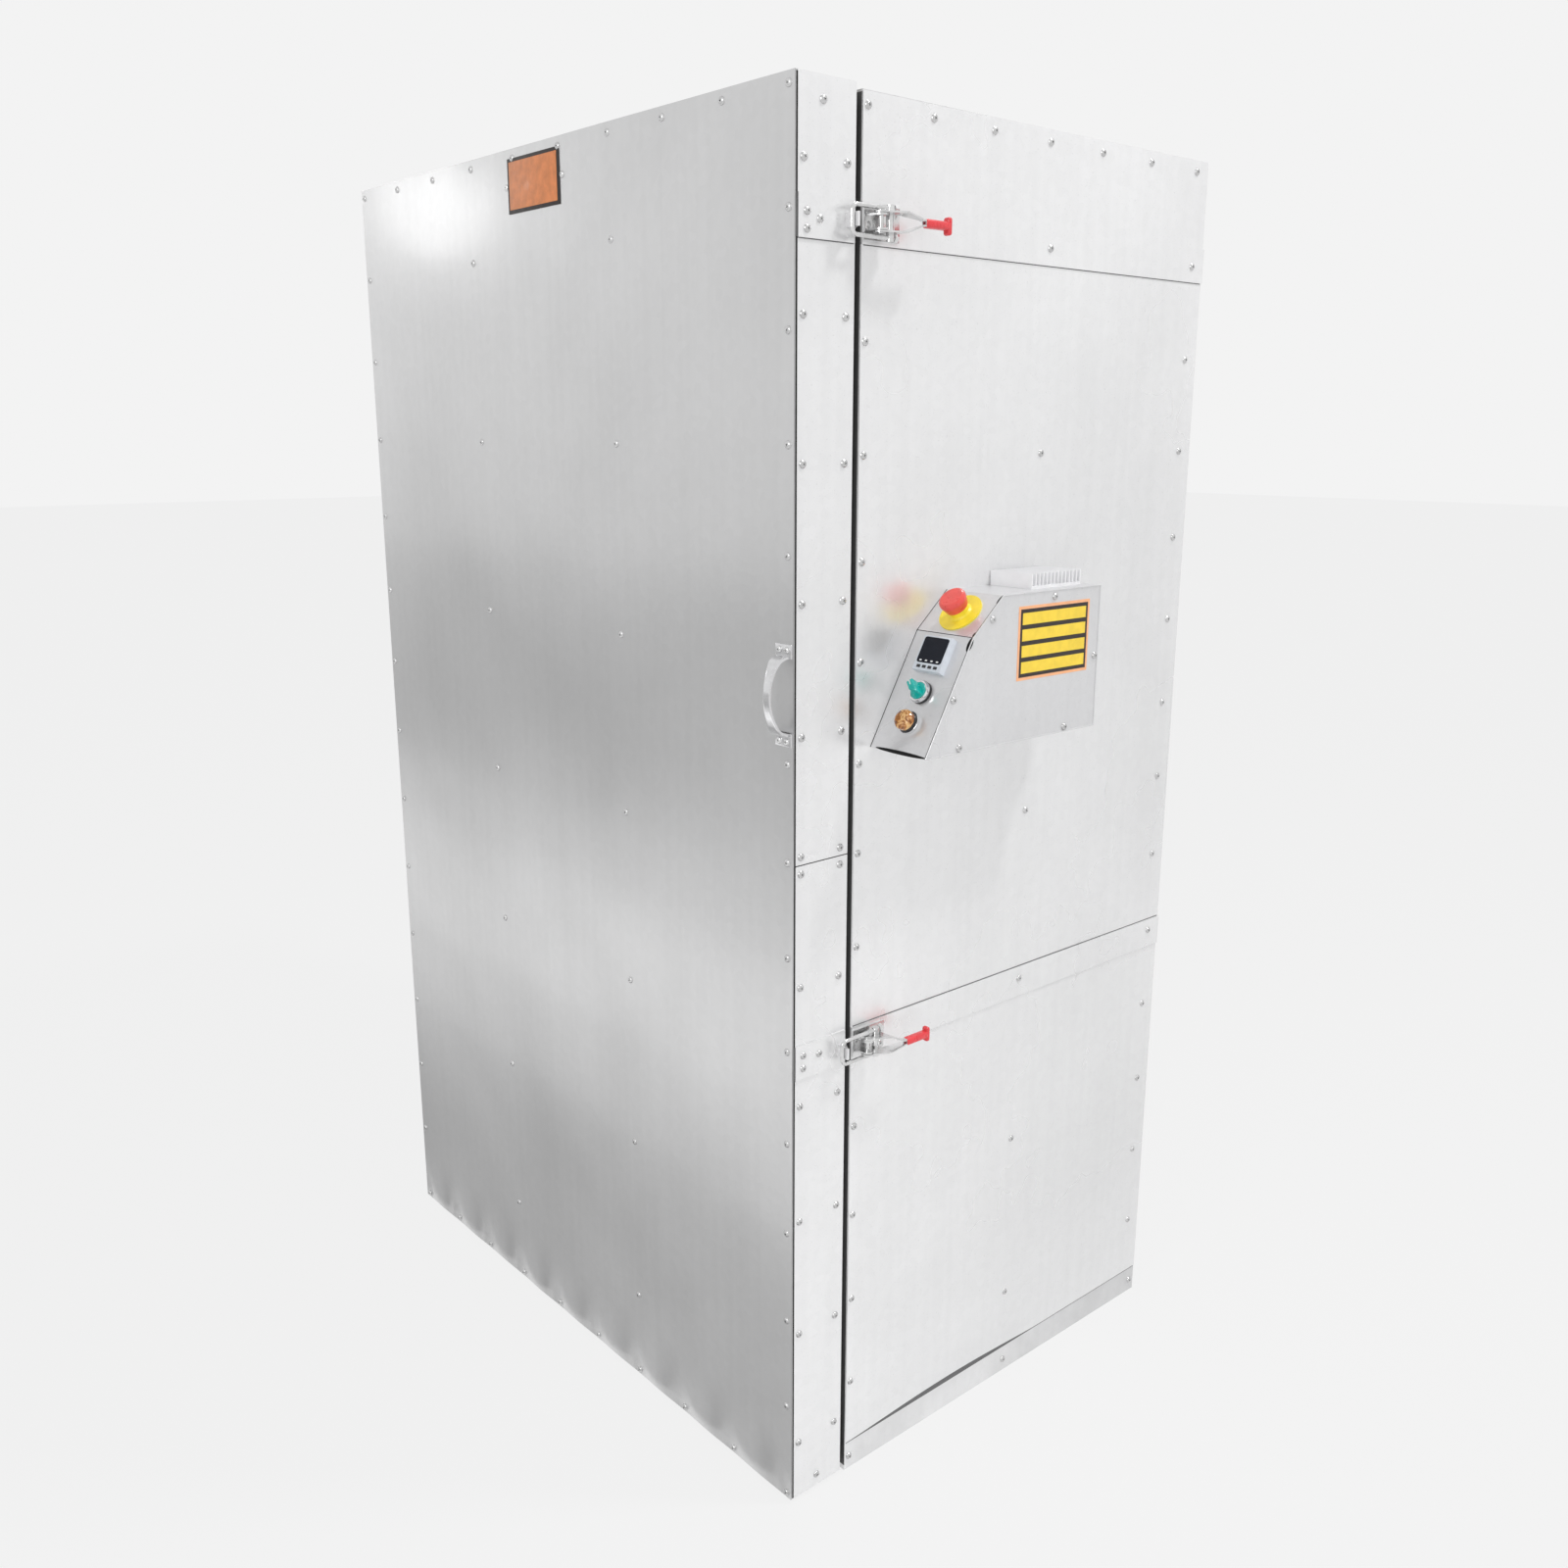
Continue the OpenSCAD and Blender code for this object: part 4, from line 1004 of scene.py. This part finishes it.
# Each lamp: place, what it points at, width, power and whether metal mirrors it
lamps = {"keyLamp": ((1.8, 1.0, 4.2), (0.4, -0.1, 1.1), 0.45, 64, True),
         "sideLamp": ((3.3, -1.0, 0.8), (0.5, 0, 0.4), 3.0, 26, False),
         "footLamp": ((1.9, -0.8, 0.3), (0.55, -0.2, 0.1), 0.5, 2.2, False),
         "frontLamp": ((1.2, -3.4, 2.6), (0.5, -0.3, 1.1), 1.6, 26, True),
         "glareLamp": ((-4.93, -2.9, 2.55), (-0.3, -0.4, 1.7), 0.45, 1.9, True)}
# Cards that only the door's reflections see: low corner, high corner and brightness
cards = {"roomLow": ((-8.5, -3.6, 0.01), (-1.2, -3.5, 0.8), 0.60),
         "roomHigh": ((-8.5, -3.6, 0.8), (-1.2, -3.5, 1.9), 0.95),
         "floorFar": ((-7.0, -3.5, 0.004), (-0.8, -2.3, 0.006), 0.55),
         "floorBright": ((-4.2, -1.8, 0.004), (0.4, -1.2, 0.006), 1.25),
         "floorNear": ((-2.6, -0.9, 0.004), (0.9, -0.47, 0.006), 0.52)}


def emptyTree(owner, outputKind):
    owner.use_nodes = True
    tree = owner.node_tree
    tree.nodes.clear()
    return tree, tree.nodes.new(outputKind).inputs["Surface"]


def colourNode(tree, kind, shade, strength=1.0):
    node = tree.nodes.new(kind)
    node.inputs["Color"].default_value = (shade, shade, shade, 1)
    if "Strength" in node.inputs:
        node.inputs["Strength"].default_value = strength
    return node.outputs[0]


def shaderMix(tree, factor, first, second, surface):
    node = tree.nodes.new("ShaderNodeMixShader")
    for socket, value in zip(node.inputs, (factor, first, second)):
        tree.links.new(value, socket)
    tree.links.new(node.outputs[0], surface)


def stageObject(name, bm, material):
    mesh = bpy.data.meshes.new(name)
    bm.to_mesh(mesh)
    bm.free()
    mesh.materials.append(material)
    piece = bpy.data.objects.new(name, mesh)
    bpy.context.collection.objects.link(piece)
    return piece


def makeFloor():
    material = bpy.data.materials.new("floorPale")
    tree, surface = emptyTree(material, "ShaderNodeOutputMaterial")
    path = tree.nodes.new("ShaderNodeLightPath").outputs
    seen = mathNode(tree, "MAXIMUM", path["Is Camera Ray"], path["Is Glossy Ray"])
    share = mathNode(tree, "MULTIPLY", seen, studio["floorGlow"])
    matte = colourNode(tree, "ShaderNodeBsdfDiffuse", studio["floorTone"])
    glow = colourNode(tree, "ShaderNodeEmission", studio["pale"])
    shaderMix(tree, share, matte, glow, surface)
    bm = bmesh.new()
    bmesh.ops.create_grid(bm, x_segments=1, y_segments=1, size=studio["floorSize"])
    stageObject("floor", bm, material)


def makeWorld():
    world = bpy.data.worlds.new("studioWorld")
    bpy.context.scene.world = world
    tree, surface = emptyTree(world, "ShaderNodeOutputWorld")
    path = tree.nodes.new("ShaderNodeLightPath").outputs
    seen = mathNode(tree, "MAXIMUM", path["Is Camera Ray"], path["Is Glossy Ray"])
    seen = mathNode(tree, "MAXIMUM", seen, path["Is Transmission Ray"])
    fill = colourNode(tree, "ShaderNodeBackground", 1, studio["fill"])
    backdrop = colourNode(tree, "ShaderNodeBackground", studio["pale"])
    shaderMix(tree, seen, fill, backdrop, surface)


def addCard(name, low, high, shade):
    material = bpy.data.materials.new(name + "Grey")
    tree, surface = emptyTree(material, "ShaderNodeOutputMaterial")
    tree.links.new(colourNode(tree, "ShaderNodeEmission", shade), surface)
    bm = bmesh.new()
    addBlock(bm, low, high)
    card = stageObject(name, bm, material)
    card.visible_camera = False
    card.visible_diffuse = False
    card.visible_shadow = False
    card.visible_transmission = False


def addLamp(name, place, target, size, power, glossy):
    light = bpy.data.lights.new(name, "AREA")
    light.shape = "DISK"
    light.size = size
    light.energy = power
    lamp = bpy.data.objects.new(name, light)
    lamp.location = place
    lamp.rotation_mode = "QUATERNION"
    lamp.rotation_quaternion = (Vector(target) - Vector(place)).to_track_quat("-Z", "Y")
    lamp.visible_glossy = glossy
    bpy.context.collection.objects.link(lamp)


def makeCamera():
    data = bpy.data.cameras.new("camera")
    data.lens = studio["lens"]
    data.sensor_width = studio["sensor"]
    camera = bpy.data.objects.new("camera", data)
    camera.location = studio["cameraAt"]
    camera.rotation_euler = [math.radians(angle) for angle in studio["cameraTurn"]]
    bpy.context.collection.objects.link(camera)
    bpy.context.scene.camera = camera


makeFloor()
makeWorld()
for name, (low, high, shade) in cards.items():
    addCard(name, low, high, shade)
for name, settings in lamps.items():
    addLamp(name, *settings)
makeCamera()
bpy.context.scene.view_settings.view_transform = "Standard"
print("studio ready")
